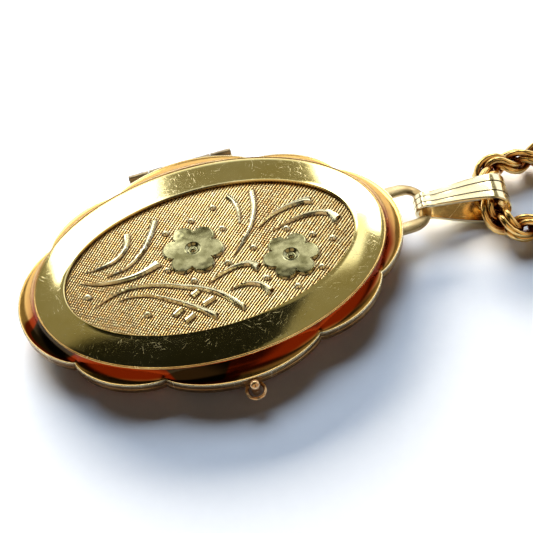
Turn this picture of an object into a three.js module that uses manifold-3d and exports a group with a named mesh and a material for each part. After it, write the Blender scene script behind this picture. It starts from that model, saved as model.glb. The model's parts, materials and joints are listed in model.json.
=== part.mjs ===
// A scalloped oval locket on its bail and rope chain. Millimetres, +Z up.
// The locket lies on its flat back: the origin is the middle of that flat, the bail is toward
// +X and the hinge of the two covers is toward +Y. The chain is one closed loop through the
// bail, and its spare length is wound in two layers beside the locket.
import * as THREE from 'three';
import { mergeVertices } from 'three/addons/utils/BufferGeometryUtils.js';
import Module from 'manifold-3d';

const wasm = await Module();
wasm.setup();

// ---- covers ----
const PARTING = 1.9; // height at which the two covers meet
const PARTING_GAP = 0.05; // from that height to each cover
const SHEET = 0.35; // thickness of the rolled gold sheet
const LIP = 0.5; // height of the upright edge round each cover
const COVE_RISE = 0.85; // from the lip to the rim of the band
const COVE_SWEEP = THREE.MathUtils.degToRad(75); // how far round the hollow curve turns
const COVE_STEPS = 3;
const BAND_RISE = 0.2; // the band slopes up from its rim to the panel
const RIM = { a: 15.5, b: 10.7 }; // half lengths of the band's outer edge
const PANEL = { a: 12.8, b: 7.5 }; // half lengths of the panel's opening
const PANEL_SET_BACK = 0.35; // panel face below the inner edge of the band
const BACK_FLAT = { a: 11.6, b: 6.4 };
const BACK_SWELL = 0.3; // the back stands this much past its band

// ---- scalloped edge: eight lobes on an ellipse ----
const CUSP = { a: 16.0, b: 11.2 }; // half lengths of the ellipse through the cusps
const END_CUSP_ANGLE = THREE.MathUtils.degToRad(33.8);
const SIDE_CUSP_ANGLE = THREE.MathUtils.degToRad(65.9);
const END_LOBE = 1.13; // how far each lobe stands off that ellipse
const CORNER_LOBE = 0.8;
const SIDE_LOBE = 1.25;
const LOBE_ROUNDNESS = 0.67;
const LOBE_STEPS = 8;

// ---- hinge and catch ----
const HINGE = { y: 12.35, radius: 0.4, pinRadius: 0.17, bore: 0.21, length: 10, knuckles: 5 };
const KNUCKLE_GAP = 0.06;
const FRONT_HINGE_NOTCH = 0.43;
const BACK_HINGE_NOTCH = 0.6;
const CATCH = { x: 0.15, y: -12.93, ball: 0.45, ballDrop: 0.3, shaft: 0.34, bottom: 0.9 };
const CATCH_RING = { radius: 0.74, wire: 0.14, z: 1.4, out: 0.08, from: 135, to: 405 };

// ---- picture holders ----
const SEAT = { a: 13.2, b: 7.95, wall: 0.4 }; // inside of the oval wall that holds a frame
const SEAT_FOOT = { front: 3.07, back: 0.77 }; // height at which each wall meets its cover
const FIT = 0.1; // round the card, the window and the frame
const CARD = 0.15;
const FRAME = { depth: 0.35, width: 1.3 };
const STACK_GAP = 0.04;

// ---- loop and bail ----
const LOOP = { end: 20.0, halfWidth: 2.74, corner: 2.4, thick: 0.45 };
const LOOP_HOLE = { end: 19.1, halfWidth: 1.55, corner: 0.85 };
const BAR_X = (LOOP.end + LOOP_HOLE.end) / 2; // the bail swings round the loop's outer bar
const BAIL = { y: -0.35, turn: THREE.MathUtils.degToRad(-12), wall: 0.3, eye: 0.7 };
const BAIL_NECK = 0.5; // half the inside height where the strip leaves the eye
const BAIL_LENGTH = 7.4; // from the bar to the wide end
const BAIL_BULB = 1.45; // inside radius of the wide end
const BAIL_WIDTH = { narrow: 1.7, wide: 3.3 };

// ---- chain and clasp ----
const CHAIN = 2.5; // diameter of the rope chain
const ON_TABLE = 0.02; // clearance under what lies on the table
const CHAIN_FLOOR = CHAIN / 2 + ON_TABLE; // height of the chain's middle where it lies flat
const COIL = { x: 51.5, y: -5, outer: 15.4, inner: 9.6 };
const COIL_START = THREE.MathUtils.degToRad(115);
const COIL_END = THREE.MathUtils.degToRad(-10);
const CLASP_Y = -25.6;
const CAP = { start: 38.9, length: 3, radius: 1.35 };
const EYE = { radius: 0.8, wire: 0.2 };
const LINK = { radius: 1.35, wire: 0.22 };
const CLASP = { radius: 2.5, tube: 0.65, bore: 0.44, bolt: 0.36, eyeOut: 0.75 };
// Where each part of the clasp starts and ends round its circle, in degrees.
const ROUND_CLASP = {
  tube: [-152, 152], bore: [-160, 160], slot: [40, 112], plug: [-60, -50],
  bolt: [98, 208], lever: [100, 108], spring: [-44, 6],
};
const LEVER = { out: 0.12, radius: 0.22, footRadius: 0.2 };
const SPRING = { turns: 6, radius: 0.28, wire: 0.07 };

// ---- finishes ----
const gold = (roughness) => new THREE.MeshStandardMaterial({
  color: 0xd2b368, roughness, metalness: 1,
});
const polished = gold(0.14);
const brushed = gold(0.3);
const engraved = new THREE.MeshStandardMaterial({ color: 0xb98a4a, roughness: 0.42, metalness: 1 });
const card = new THREE.MeshStandardMaterial({ color: 0xe9e2d0, roughness: 0.9, metalness: 0 });
const clear = new THREE.MeshStandardMaterial({ color: 0xf4f1e6, roughness: 0.08, metalness: 0 });
const steel = new THREE.MeshStandardMaterial({ color: 0xb8b8b4, roughness: 0.3, metalness: 1 });

// ---- general shape helpers ----

/** A solid for joining and cutting, from a closed geometry. */
function toSolid(geometry) {
  const bare = geometry.clone();
  bare.deleteAttribute('normal');
  bare.deleteAttribute('uv');
  const merged = mergeVertices(bare, 1e-5);
  return new wasm.Manifold(new wasm.Mesh({
    numProp: 3,
    vertProperties: Float32Array.from(merged.attributes.position.array),
    triVerts: Uint32Array.from(merged.index.array),
  }));
}

/** The geometry of a solid. */
function toGeometry(solid) {
  const mesh = solid.getMesh();
  const geometry = new THREE.BufferGeometry();
  geometry.setAttribute('position', new THREE.BufferAttribute(mesh.vertProperties, 3));
  geometry.setIndex(new THREE.BufferAttribute(mesh.triVerts, 1));
  geometry.computeVertexNormals();
  return geometry;
}

const join = (first, ...others) => toGeometry(
  others.reduce((solid, other) => solid.add(toSolid(other)), toSolid(first)),
);
const cut = (from, ...tools) => toGeometry(
  tools.reduce((solid, tool) => solid.subtract(toSolid(tool)), toSolid(from)),
);

/**
 * A closed surface through rings of points, all with the same number of points. The last ring
 * meets the first one, or with capped set the first and last rings are filled in.
 */
function skin(rings, capped = false) {
  const count = rings[0].length;
  const points = rings.flat();
  const faces = [];
  const bands = capped ? rings.length - 1 : rings.length;
  for (let r = 0; r < bands; r += 1) {
    const low = r * count;
    const high = ((r + 1) % rings.length) * count;
    for (let i = 0; i < count; i += 1) {
      const j = (i + 1) % count;
      faces.push(low + i, low + j, high + j, low + i, high + j, high + i);
    }
  }
  if (capped) {
    const last = (rings.length - 1) * count;
    for (let i = 1; i < count - 1; i += 1) {
      faces.push(0, i + 1, i);
      faces.push(last, last + i, last + i + 1);
    }
  }
  const geometry = new THREE.BufferGeometry().setFromPoints(points);
  geometry.setIndex(faces);
  geometry.computeVertexNormals();
  return geometry;
}

function ovalShape(a, b) {
  return new THREE.Shape().absellipse(0, 0, a, b, 0, Math.PI * 2);
}

function plate(shape, depth, curveSegments = 24) {
  return new THREE.ExtrudeGeometry(shape, { depth, bevelEnabled: false, curveSegments });
}

/** An oval ring standing up from z = 0. */
function ovalRing(a, b, wall, depth) {
  const shape = ovalShape(a, b);
  shape.holes.push(ovalShape(a - wall, b - wall));
  return plate(shape, depth);
}

function roundSection(radius, sides) {
  const corners = [];
  for (let i = 0; i < sides; i += 1) {
    const angle = (i / sides) * Math.PI * 2;
    corners.push(new THREE.Vector2(radius * Math.cos(angle), radius * Math.sin(angle)));
  }
  return new THREE.Shape(corners);
}

/** A solid round rod along a curve. */
function rod(curve, radius, steps, sides = 8) {
  return new THREE.ExtrudeGeometry(roundSection(radius, sides), {
    steps, extrudePath: curve, bevelEnabled: false,
  });
}

/** Part of a circle lying flat at z = 0, as a curve. Angles in degrees. */
function arc(radius, from, to) {
  const points = [];
  const steps = 24;
  for (let i = 0; i <= steps; i += 1) {
    const angle = THREE.MathUtils.degToRad(from + ((to - from) * i) / steps);
    points.push(new THREE.Vector3(radius * Math.cos(angle), radius * Math.sin(angle), 0));
  }
  return new THREE.CatmullRomCurve3(points);
}

const ringOf = (radius, wire) => new THREE.TorusGeometry(radius, wire, 6, 18);

// ---- the scalloped edge ----

/** Places round the edge: an angle on the cusp ellipse and how far the lobe bulges there. */
function edgeStations() {
  const quarter = [
    { from: -END_CUSP_ANGLE, to: END_CUSP_ANGLE, bulge: END_LOBE },
    { from: END_CUSP_ANGLE, to: SIDE_CUSP_ANGLE, bulge: CORNER_LOBE },
    { from: SIDE_CUSP_ANGLE, to: Math.PI - SIDE_CUSP_ANGLE, bulge: SIDE_LOBE },
    { from: Math.PI - SIDE_CUSP_ANGLE, to: Math.PI - END_CUSP_ANGLE, bulge: CORNER_LOBE },
  ];
  const lobes = [0, Math.PI].flatMap((turn) => quarter.map(
    (lobe) => ({ ...lobe, from: lobe.from + turn, to: lobe.to + turn }),
  ));
  return lobes.flatMap((lobe) => {
    const stations = [];
    for (let i = 0; i < LOBE_STEPS; i += 1) {
      const along = i / LOBE_STEPS;
      stations.push({
        angle: lobe.from + (lobe.to - lobe.from) * along,
        bulge: lobe.bulge * Math.sin(Math.PI * along) ** LOBE_ROUNDNESS,
      });
    }
    return stations;
  });
}

const STATIONS = edgeStations();

/** The scalloped outline, moved in by inset. */
function scallop(inset, z) {
  return STATIONS.map(({ angle, bulge }) => {
    const outward = new THREE.Vector2(CUSP.b * Math.cos(angle), CUSP.a * Math.sin(angle));
    outward.normalize().multiplyScalar(bulge - inset);
    const x = CUSP.a * Math.cos(angle) + outward.x;
    return new THREE.Vector3(x, CUSP.b * Math.sin(angle) + outward.y, z);
  });
}

/** A plain oval with one point for each place round the edge. */
function oval({ a, b }, inset, z) {
  return STATIONS.map(({ angle }) => new THREE.Vector3(
    (a - inset) * Math.cos(angle), (b - inset) * Math.sin(angle), z,
  ));
}

/** Rings of the hollow curve from the scalloped edge to the rim, both ends left out. */
function cove(edge, rim) {
  const rings = [];
  for (let k = 1; k < COVE_STEPS; k += 1) {
    const turn = (k / COVE_STEPS) * COVE_SWEEP;
    const across = Math.sin(turn) / Math.sin(COVE_SWEEP);
    const up = (1 - Math.cos(turn)) / (1 - Math.cos(COVE_SWEEP));
    rings.push(edge.map((point, i) => {
      const between = point.clone().lerp(rim[i], across);
      between.z = point.z + (rim[i].z - point.z) * up;
      return between;
    }));
  }
  return rings;
}

// ---- covers ----
const LIP_TOP = PARTING + PARTING_GAP + LIP;
const RIM_TOP = LIP_TOP + COVE_RISE;
const BAND_TOP = RIM_TOP + BAND_RISE;
const PANEL_TOP = BAND_TOP - PANEL_SET_BACK;
const PANEL_THICK = 0.3;

const LIP_BOTTOM = PARTING - PARTING_GAP - LIP;
const RIM_BOTTOM = LIP_BOTTOM - COVE_RISE;
const BAND_BOTTOM = RIM_BOTTOM - BAND_RISE;

/** A cylinder along the hinge line, to clear the knuckles. */
function hingeNotch(radius) {
  const notch = new THREE.CylinderGeometry(radius, radius, HINGE.length + 0.1, 16);
  notch.rotateZ(Math.PI / 2);
  notch.translate(0, HINGE.y, PARTING);
  return notch;
}

function frontCover() {
  const edge = scallop(0, LIP_TOP);
  const rim = oval(RIM, 0, RIM_TOP);
  const innerEdge = scallop(SHEET, LIP_TOP - SHEET);
  const innerRim = oval(RIM, SHEET, RIM_TOP - SHEET);
  const shell = skin([
    scallop(0, PARTING + PARTING_GAP),
    edge,
    ...cove(edge, rim),
    rim,
    oval(PANEL, 0, BAND_TOP),
    oval(PANEL, 0, PANEL_TOP - PANEL_THICK),
    oval(PANEL, -SHEET, PANEL_TOP - PANEL_THICK),
    oval(PANEL, -SHEET, BAND_TOP - SHEET),
    innerRim,
    ...cove(innerEdge, innerRim).reverse(),
    innerEdge,
    scallop(SHEET, PARTING + PARTING_GAP),
  ]);
  return cut(shell, hingeNotch(FRONT_HINGE_NOTCH));
}

function backCover() {
  const edge = scallop(0, LIP_BOTTOM);
  const rim = oval(RIM, 0, RIM_BOTTOM);
  const innerEdge = scallop(SHEET, LIP_BOTTOM + SHEET);
  const innerRim = oval(RIM, SHEET, RIM_BOTTOM + SHEET);
  const shell = skin([
    oval(BACK_FLAT, 0, 0),
    oval(PANEL, 0, BACK_SWELL),
    rim,
    ...cove(edge, rim).reverse(),
    edge,
    scallop(0, PARTING - PARTING_GAP),
    scallop(SHEET, PARTING - PARTING_GAP),
    innerEdge,
    ...cove(innerEdge, innerRim),
    innerRim,
    oval(PANEL, 0, BAND_BOTTOM + SHEET),
    oval(BACK_FLAT, 0, SHEET),
  ], true);
  return cut(shell, hingeNotch(BACK_HINGE_NOTCH));
}

// ---- the engraved panel ----
const RELIEF = 0.22; // height of the flowers and leaves
const SUNK = 0.05; // how far each one goes into the plate
const LEAF_WIDTH = 0.62;
const STEM_WIDTH = 0.5;
const BEAD = 0.34;

const FLOWERS = [
  { x: -1.3, y: 1.1, radius: 2.55, turn: -20 },
  { x: 6.4, y: -2.5, radius: 2.4, turn: -10 },
];
const BEADS = [
  [1.5, 5.2], [-0.7, 4.4], [-3.2, 3.8], [1.7, 2.6], [1.2, -1.2], [-3.9, -0.2], [-2, -2.05],
  [-11, -0.6], [-6.5, -4.1], [3.7, -0.4], [3.9, -3.9], [7, 0.6], [8.9, -0.8], [10.4, -1.8],
  [8.6, -4.4], [6.1, -5.6],
];
// Each leaf runs from its broad blunt end to its point.
const LEAVES = [
  [[-6.5, 4.9], [-6.8, 3.7], [-7.9, 2.5], [-9.5, 2.05], [-10.8, 2.05]],
  [[-3.8, 5.6], [-4.6, 4], [-5.65, 2.5], [-7.2, 1.3], [-9.1, 0.9]],
  [[-4.5, 0.8], [-5.7, 0.35], [-7.2, 0.1], [-9.5, 0.3], [-11.4, 1]],
  [[3.1, 6], [3.45, 5.3], [3.55, 4.2], [3.3, 2.6]],
  [[5.3, 5.85], [5, 4.1], [4.1, 2], [2.9, 0.45], [1.7, -0.8]],
  [[9.95, 2.9], [9.3, 3.05], [7.75, 2.9], [6.05, 2.4], [4.6, 1.45]],
  [[11.5, 0], [10.9, 1], [9.7, 1.4], [7.85, 1.3], [5.7, 0.75]],
  [[3.5, -2.6], [3, -2], [1.85, -1.85], [0.4, -2.2], [-0.9, -2.8]],
  [[3.8, -5.4], [3.3, -4.5], [2.4, -4], [1.4, -3.95], [0.6, -4.1]],
];
const STEMS = [
  [[-10.6, -1.9], [-8.9, -1.2], [-7.1, -1], [-4.9, -1.5], [-3, -2.4], [-1.4, -3.2], [0, -4.35],
    [1.3, -6.2]],
  [[-8.5, -1.9], [-7.3, -1.9], [-5.9, -2.3], [-4.7, -3.1], [-3.2, -4.2], [-2, -5.3], [-1.1, -6.2]],
];
const SIDE_STEMS = [
  [[-1.9, -3.2], [-2.6, -3.6]],
  [[-3.6, -4.5], [-4.5, -5]],
  [[-0.8, -4.35], [-1.9, -4.75]],
  [[-2.8, -5.4], [-3.7, -5.9]],
];

/** The outline of a leaf or stem, as wide along its line as halfWidth(along) says. */
function stripShape(line, halfWidth, steps) {
  const curve = new THREE.CatmullRomCurve3(line.map(([x, y]) => new THREE.Vector3(x, y, 0)));
  const left = [];
  const right = [];
  for (let i = 0; i <= steps; i += 1) {
    const at = curve.getPoint(i / steps);
    const along = curve.getTangent(i / steps);
    const half = halfWidth(i / steps);
    left.push(new THREE.Vector2(at.x - along.y * half, at.y + along.x * half));
    right.push(new THREE.Vector2(at.x + along.y * half, at.y - along.x * half));
  }
  return new THREE.Shape([...left, ...right.reverse()]);
}

const leafHalfWidth = (along) => (LEAF_WIDTH / 2) * (1 - 0.9 * along ** 1.5);
const stemHalfWidth = (along) => (STEM_WIDTH / 2) * (0.35 + 0.65 * Math.sin(Math.PI * along) ** 0.5);
const sideStemHalfWidth = () => STEM_WIDTH / 2;

/** A flower with six round petals. */
function flowerShape(radius) {
  const points = [];
  const petals = 6;
  const petalSteps = 5;
  for (let i = 0; i < petals * petalSteps; i += 1) {
    const angle = (i / (petals * petalSteps)) * Math.PI * 2;
    const swell = Math.abs(Math.cos((petals * angle) / 2)) ** 0.6;
    const reach = radius * (0.7 + 0.3 * swell);
    points.push(new THREE.Vector2(reach * Math.cos(angle), reach * Math.sin(angle)));
  }
  return new THREE.Shape(points);
}

function frontPanel() {
  const base = plate(ovalShape(PANEL.a - FIT / 2, PANEL.b - FIT / 2), PANEL_THICK, 40);
  const raised = [];
  const onFace = (geometry, x = 0, y = 0) => {
    geometry.translate(x, y, PANEL_THICK - SUNK);
    raised.push(geometry);
  };
  for (const { x, y, radius, turn } of FLOWERS) {
    const flower = plate(flowerShape(radius), RELIEF + SUNK);
    flower.rotateZ(THREE.MathUtils.degToRad(turn));
    onFace(flower, x, y);
  }
  LEAVES.forEach((line) => onFace(plate(stripShape(line, leafHalfWidth, 6), RELIEF + SUNK)));
  STEMS.forEach((line) => onFace(plate(stripShape(line, stemHalfWidth, 10), RELIEF + SUNK)));
  SIDE_STEMS.forEach((line) => onFace(plate(stripShape(line, sideStemHalfWidth, 1), RELIEF + SUNK)));
  BEADS.forEach(([x, y]) => {
    const bead = new THREE.CylinderGeometry(BEAD * 0.5, BEAD, RELIEF + SUNK, 8);
    bead.rotateX(Math.PI / 2);
    bead.translate(0, 0, (RELIEF + SUNK) / 2);
    onFace(bead, x, y);
  });
  return join(base, ...raised);
}

// ---- what holds the pictures ----

/** One cover's card, window and frame, stacked from the cover toward the parting plane. */
function pictureHolder(side, group, facing) {
  const wallEnd = PARTING + facing * (PARTING_GAP * 2);
  const wallFoot = SEAT_FOOT[side];
  const wallDepth = Math.abs(wallFoot - wallEnd);
  const wall = ovalRing(SEAT.a + SEAT.wall, SEAT.b + SEAT.wall, SEAT.wall, wallDepth);
  add(group, `${side}_picture_rim`, wall, brushed, [0, 0, Math.min(wallFoot, wallEnd)]);

  let distance = PARTING_GAP * 2.5;
  const stack = (name, geometry, finish, depth) => {
    const low = facing > 0 ? PARTING + distance : PARTING - distance - depth;
    add(group, name, geometry, finish, [0, 0, low]);
    distance += depth + STACK_GAP;
  };
  const a = SEAT.a - FIT;
  const b = SEAT.b - FIT;
  stack(`${side}_picture_frame`, ovalRing(a, b, FRAME.width, FRAME.depth), polished, FRAME.depth);
  stack(`${side}_window`, plate(ovalShape(a, b), CARD), clear, CARD);
  stack(`${side}_picture_card`, plate(ovalShape(a, b), CARD), card, CARD);
}

// ---- hinge ----

/** A short tube along X. */
function knuckle(length) {
  const profile = [
    [HINGE.bore, 0], [HINGE.radius, 0], [HINGE.radius, length], [HINGE.bore, length], [HINGE.bore, 0],
  ].map(([radius, y]) => new THREE.Vector2(radius, y));
  const tube = new THREE.LatheGeometry(profile, 14);
  tube.rotateZ(-Math.PI / 2);
  return tube;
}

function addHinge(back, front) {
  const pitch = HINGE.length / HINGE.knuckles;
  const names = ['back_knuckle_left', 'front_knuckle_left', 'back_knuckle_middle',
    'front_knuckle_right', 'back_knuckle_right'];
  names.forEach((name, i) => {
    const x = -HINGE.length / 2 + i * pitch + KNUCKLE_GAP / 2;
    const group = name.startsWith('back') ? back : front;
    add(group, name, knuckle(pitch - KNUCKLE_GAP), brushed, [x, HINGE.y, PARTING]);
  });
  const pin = new THREE.CylinderGeometry(HINGE.pinRadius, HINGE.pinRadius, HINGE.length + 0.1, 10);
  pin.rotateZ(Math.PI / 2);
  add(back, 'hinge_pin', pin, steel, [0, HINGE.y, PARTING]);
}

// ---- catch ----

/** A ball on a short shaft that stands outside the front cover's lip. */
function catchPost() {
  const { ball, shaft, bottom } = CATCH;
  const centre = LIP_TOP - CATCH.ballDrop;
  const neck = Math.asin(shaft / ball);
  const chamfer = shaft * 0.4;
  const profile = [
    new THREE.Vector2(0, bottom), new THREE.Vector2(shaft - chamfer, bottom),
    new THREE.Vector2(shaft, bottom + chamfer),
  ];
  const steps = 6;
  for (let i = 0; i <= steps; i += 1) {
    const polar = Math.PI - neck - ((Math.PI - neck) * i) / steps;
    profile.push(new THREE.Vector2(ball * Math.sin(polar), centre + ball * Math.cos(polar)));
  }
  profile[profile.length - 1].x = 0;
  const post = new THREE.LatheGeometry(profile, 12);
  post.rotateX(Math.PI / 2);
  return post;
}

const flatten = (points) => points.map(({ x, y }) => new THREE.Vector2(x, y));

/** The open ring on the back cover that the post snaps into. */
function catchRing() {
  const ring = rod(arc(CATCH_RING.radius, CATCH_RING.from, CATCH_RING.to), CATCH_RING.wire, 18);
  ring.translate(CATCH.x, CATCH.y - CATCH_RING.out, CATCH_RING.z);
  return cut(ring, plate(new THREE.Shape(flatten(scallop(-0.02, 0))), BAND_TOP, 1));
}

// ---- loop and bail ----

/** The end of a strip with rounded corners, open toward -X at x = start. */
function tongue({ end, halfWidth, corner }, start) {
  const shape = new THREE.Shape();
  shape.moveTo(start, -halfWidth);
  shape.lineTo(end - corner, -halfWidth);
  shape.absarc(end - corner, corner - halfWidth, corner, -Math.PI / 2, 0);
  shape.absarc(end - corner, halfWidth - corner, corner, 0, Math.PI / 2);
  shape.lineTo(start, halfWidth);
  return shape;
}

function loop() {
  const start = CUSP.a - END_LOBE;
  const outside = plate(tongue(LOOP, start), LOOP.thick, 6);
  const hole = plate(tongue(LOOP_HOLE, start - 1), LOOP.thick + 1, 5);
  hole.translate(0, 0, -0.5);
  const locket = plate(new THREE.Shape(flatten(scallop(-0.02, 0))), LOOP.thick + 1, 1);
  locket.translate(0, 0, -0.5);
  return cut(outside, hole, locket);
}

/** Side view of the bail, from the eye round the bar to the wide end, grown by wall. */
function bailOutline(wall, from) {
  const bulbX = BAIL_LENGTH - BAIL.wall - BAIL_BULB;
  const radius = BAIL_BULB + wall;
  const shape = new THREE.Shape();
  shape.moveTo(from, -BAIL_NECK - wall);
  shape.quadraticCurveTo(bulbX * 0.5, -radius, bulbX, -radius);
  shape.absarc(bulbX, 0, radius, -Math.PI / 2, Math.PI / 2);
  shape.quadraticCurveTo(bulbX * 0.5, radius, from, BAIL_NECK + wall);
  return shape;
}

/** A folded strip: its narrow end wraps the loop's bar and the chain runs in its wide end. */
function bail() {
  const depth = BAIL_WIDTH.wide;
  const eyeOutside = new THREE.Shape().absarc(0, 0, BAIL.eye + BAIL.wall, 0, Math.PI * 2);
  const eyeHole = new THREE.Shape().absarc(0, 0, BAIL.eye, 0, Math.PI * 2);
  const web = BAIL.eye + BAIL.wall;
  const side = cut(
    join(plate(bailOutline(BAIL.wall, BAIL.eye * 0.6), depth, 6), plate(eyeOutside, depth, 9)),
    plate(eyeHole, depth * 1.2, 8).translate(0, 0, -depth * 0.1),
    plate(bailOutline(0, web), depth * 1.2, 6).translate(0, 0, -depth * 0.1),
  );
  side.rotateX(Math.PI / 2);
  side.translate(0, depth / 2, 0);
  const { narrow, wide } = BAIL_WIDTH;
  const start = -BAIL.eye - BAIL.wall * 2;
  const plan = new THREE.Shape([
    new THREE.Vector2(start, -narrow / 2), new THREE.Vector2(BAIL.eye, -narrow / 2),
    new THREE.Vector2(BAIL_LENGTH, -wide / 2), new THREE.Vector2(BAIL_LENGTH, wide / 2),
    new THREE.Vector2(BAIL.eye, narrow / 2), new THREE.Vector2(start, narrow / 2),
  ]);
  const taper = plate(plan, depth * 2).translate(0, 0, -depth);
  return toGeometry(toSolid(side).intersect(toSolid(taper)));
}

// ---- chain ----

// The chain's line from the coil, through the bail, to its first end cap.
const CHAIN_RUN = [
  [36, 4.8, 1.27], [33.6, 3.4, 1.27], [31.4, 2.1, 1.3], [29.3, 1.95, 1.45], [27.4, 2.05, 1.65],
  [25.9, 1.2, 1.85], [25.2, -0.4, 1.9], [24.9, -2.1, 1.9], [24.9, -3.7, 1.75], [25.8, -5, 1.45],
  [27.7, -5.5, 1.3], [29.9, -6.1, 1.27], [31.7, -7.9, 1.27], [32.5, -10.6, 1.27], [32.6, -14.5, 1.27],
  [32.6, -18.6, 1.27], [33.3, -22.3, 1.27], [35.4, -24.9, 1.27], [38.5, CLASP_Y, 1.27],
];
// And from the coil to its second end cap, coming down off the upper layer.
const CHAIN_TAIL = [
  [65, -17.4, 1.6], [64, -20.6, 1.3], [61.7, -23.7, 1.27], [58.9, -25.2, 1.27], [57.5, CLASP_Y, 1.27],
];

const chainCurve = (points) => new THREE.CatmullRomCurve3(points.map((p) => new THREE.Vector3(...p)));

/** The space that the coiled chain fills: two layers of turns. */
function coilBody() {
  const inner = COIL.inner - CHAIN / 2;
  const outer = COIL.outer + CHAIN / 2;
  const height = CHAIN * 2 + ON_TABLE * 2;
  const corner = CHAIN / 4;
  const profile = [
    [inner, corner], [inner + corner, 0], [outer - corner, 0], [outer, corner],
    [outer, height - corner], [outer - corner, height], [inner + corner, height],
    [inner, height - corner], [inner, corner],
  ].map(([radius, y]) => new THREE.Vector2(radius, y));
  return new THREE.LatheGeometry(profile, 32).rotateX(Math.PI / 2);
}

/** An end cap, a straight cup with a rounded shoulder, with its eye toward +X. */
function endCap() {
  const { length, radius } = CAP;
  const profile = [
    [0, 0], [radius, 0], [radius, length * 0.7], [radius * 0.75, length * 0.9],
    [radius * 0.35, length], [0, length],
  ].map(([r, y]) => new THREE.Vector2(r, y));
  const cup = new THREE.LatheGeometry(profile, 14).rotateZ(-Math.PI / 2);
  const eye = ringOf(EYE.radius, EYE.wire).translate(length + EYE.radius - EYE.wire, 0, 0);
  return join(cup, eye);
}

/** The bolt ring's hollow body, open where the bolt crosses, with a slot for the thumb lever. */
function claspBody() {
  const steps = 22;
  const tube = rod(arc(CLASP.radius, ...ROUND_CLASP.tube), CLASP.tube, steps);
  const bore = rod(arc(CLASP.radius, ...ROUND_CLASP.bore), CLASP.bore, steps);
  const slot = rod(arc(CLASP.radius + CLASP.tube, ...ROUND_CLASP.slot), CLASP.bore, 10);
  const eye = ringOf(EYE.radius, EYE.wire)
    .translate(CLASP.radius + CLASP.tube + CLASP.eyeOut, 0, 0);
  const plug = rod(arc(CLASP.radius, ...ROUND_CLASP.plug), CLASP.tube * 0.9, 2);
  return join(cut(tube, bore, slot), plug, eye);
}

/** The sprung bolt with its thumb lever. */
function claspBolt() {
  const bolt = rod(arc(CLASP.radius, ...ROUND_CLASP.bolt), CLASP.bolt, 14);
  const leverLine = arc(CLASP.radius + CLASP.tube + LEVER.out, ...ROUND_CLASP.lever);
  const lever = rod(leverLine, LEVER.radius, 1);
  const footLine = arc(CLASP.radius + CLASP.tube * 0.6, ...ROUND_CLASP.lever);
  const foot = rod(footLine, LEVER.footRadius, 1);
  return join(bolt, foot, lever);
}

/** The small spring that pushes the bolt shut, drawn at its pressed length. */
function claspSpring() {
  const steps = SPRING.turns * 6;
  const [from, to] = ROUND_CLASP.spring;
  const points = [];
  for (let i = 0; i <= steps; i += 1) {
    const along = i / steps;
    const angle = THREE.MathUtils.degToRad(from + (to - from) * along);
    const roll = along * SPRING.turns * Math.PI * 2;
    const radius = CLASP.radius + SPRING.radius * Math.cos(roll);
    points.push(new THREE.Vector3(
      radius * Math.cos(angle), radius * Math.sin(angle), SPRING.radius * Math.sin(roll),
    ));
  }
  return rod(new THREE.CatmullRomCurve3(points), SPRING.wire, steps, 4);
}

// ---- assembly ----

function add(group, name, geometry, material, position = [0, 0, 0], rotation = [0, 0, 0]) {
  const mesh = new THREE.Mesh(geometry, material);
  mesh.name = name;
  mesh.position.set(...position);
  mesh.rotation.set(...rotation);
  group.add(mesh);
}

const group = new THREE.Group();
const necklace = new THREE.Group();
const locketBack = new THREE.Group();
const locketFront = new THREE.Group();
group.add(necklace, locketBack, locketFront);

add(locketFront, 'front_cover', frontCover(), polished);
add(locketFront, 'front_panel', frontPanel(), engraved, [0, 0, PANEL_TOP - PANEL_THICK]);
add(locketFront, 'catch_post', catchPost(), polished, [CATCH.x, CATCH.y, 0]);
pictureHolder('front', locketFront, 1);

add(locketBack, 'back_cover', backCover(), polished);
add(locketBack, 'catch_ring', catchRing(), polished);
add(locketBack, 'loop', loop(), polished, [0, 0, PARTING - LOOP.thick / 2]);
pictureHolder('back', locketBack, -1);
addHinge(locketBack, locketFront);

add(necklace, 'bail', bail(), polished, [BAR_X, BAIL.y, PARTING], [0, 0, BAIL.turn]);
add(necklace, 'chain_run', rod(chainCurve(CHAIN_RUN), CHAIN / 2, 36), polished);
add(necklace, 'chain_tail', rod(chainCurve(CHAIN_TAIL), CHAIN / 2, 8), polished);
add(necklace, 'chain_coil', coilBody(), polished, [COIL.x, COIL.y, 0]);

const claspZ = CHAIN_FLOOR + CAP.radius - CHAIN / 2;
const firstEye = CAP.start + CAP.length + EYE.radius - EYE.wire;
const claspX = firstEye + LINK.radius + 0.45 + CLASP.radius;
const claspEye = claspX + CLASP.radius + CLASP.tube + CLASP.eyeOut;
const secondEye = claspEye + LINK.radius * 2;
const secondCap = secondEye + EYE.radius - EYE.wire + CAP.length;
const linkZ = LINK.radius + LINK.wire + ON_TABLE;
const upright = [Math.PI / 2, 0, 0];
add(necklace, 'first_end_cap', endCap(), polished, [CAP.start, CLASP_Y, claspZ]);
add(necklace, 'second_end_cap', endCap(), polished, [secondCap, CLASP_Y, claspZ],
  [0, 0, Math.PI]);
add(necklace, 'catch_link', ringOf(LINK.radius, LINK.wire), polished,
  [firstEye + LINK.radius, CLASP_Y, linkZ], upright);
add(necklace, 'clasp_link', ringOf(LINK.radius, LINK.wire), polished,
  [claspEye + LINK.radius, CLASP_Y, linkZ], upright);
add(necklace, 'clasp_body', claspBody(), polished, [claspX, CLASP_Y, claspZ]);
add(necklace, 'clasp_bolt', claspBolt(), polished, [claspX, CLASP_Y, claspZ]);
add(necklace, 'clasp_spring', claspSpring(), steel, [claspX, CLASP_Y, claspZ]);

export default group;
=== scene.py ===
"""The looks of a scalloped oval locket on its bail and rope chain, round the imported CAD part."""

import json
import math

import bmesh
import bpy
import numpy as np
from mathutils import Matrix, Vector


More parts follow.
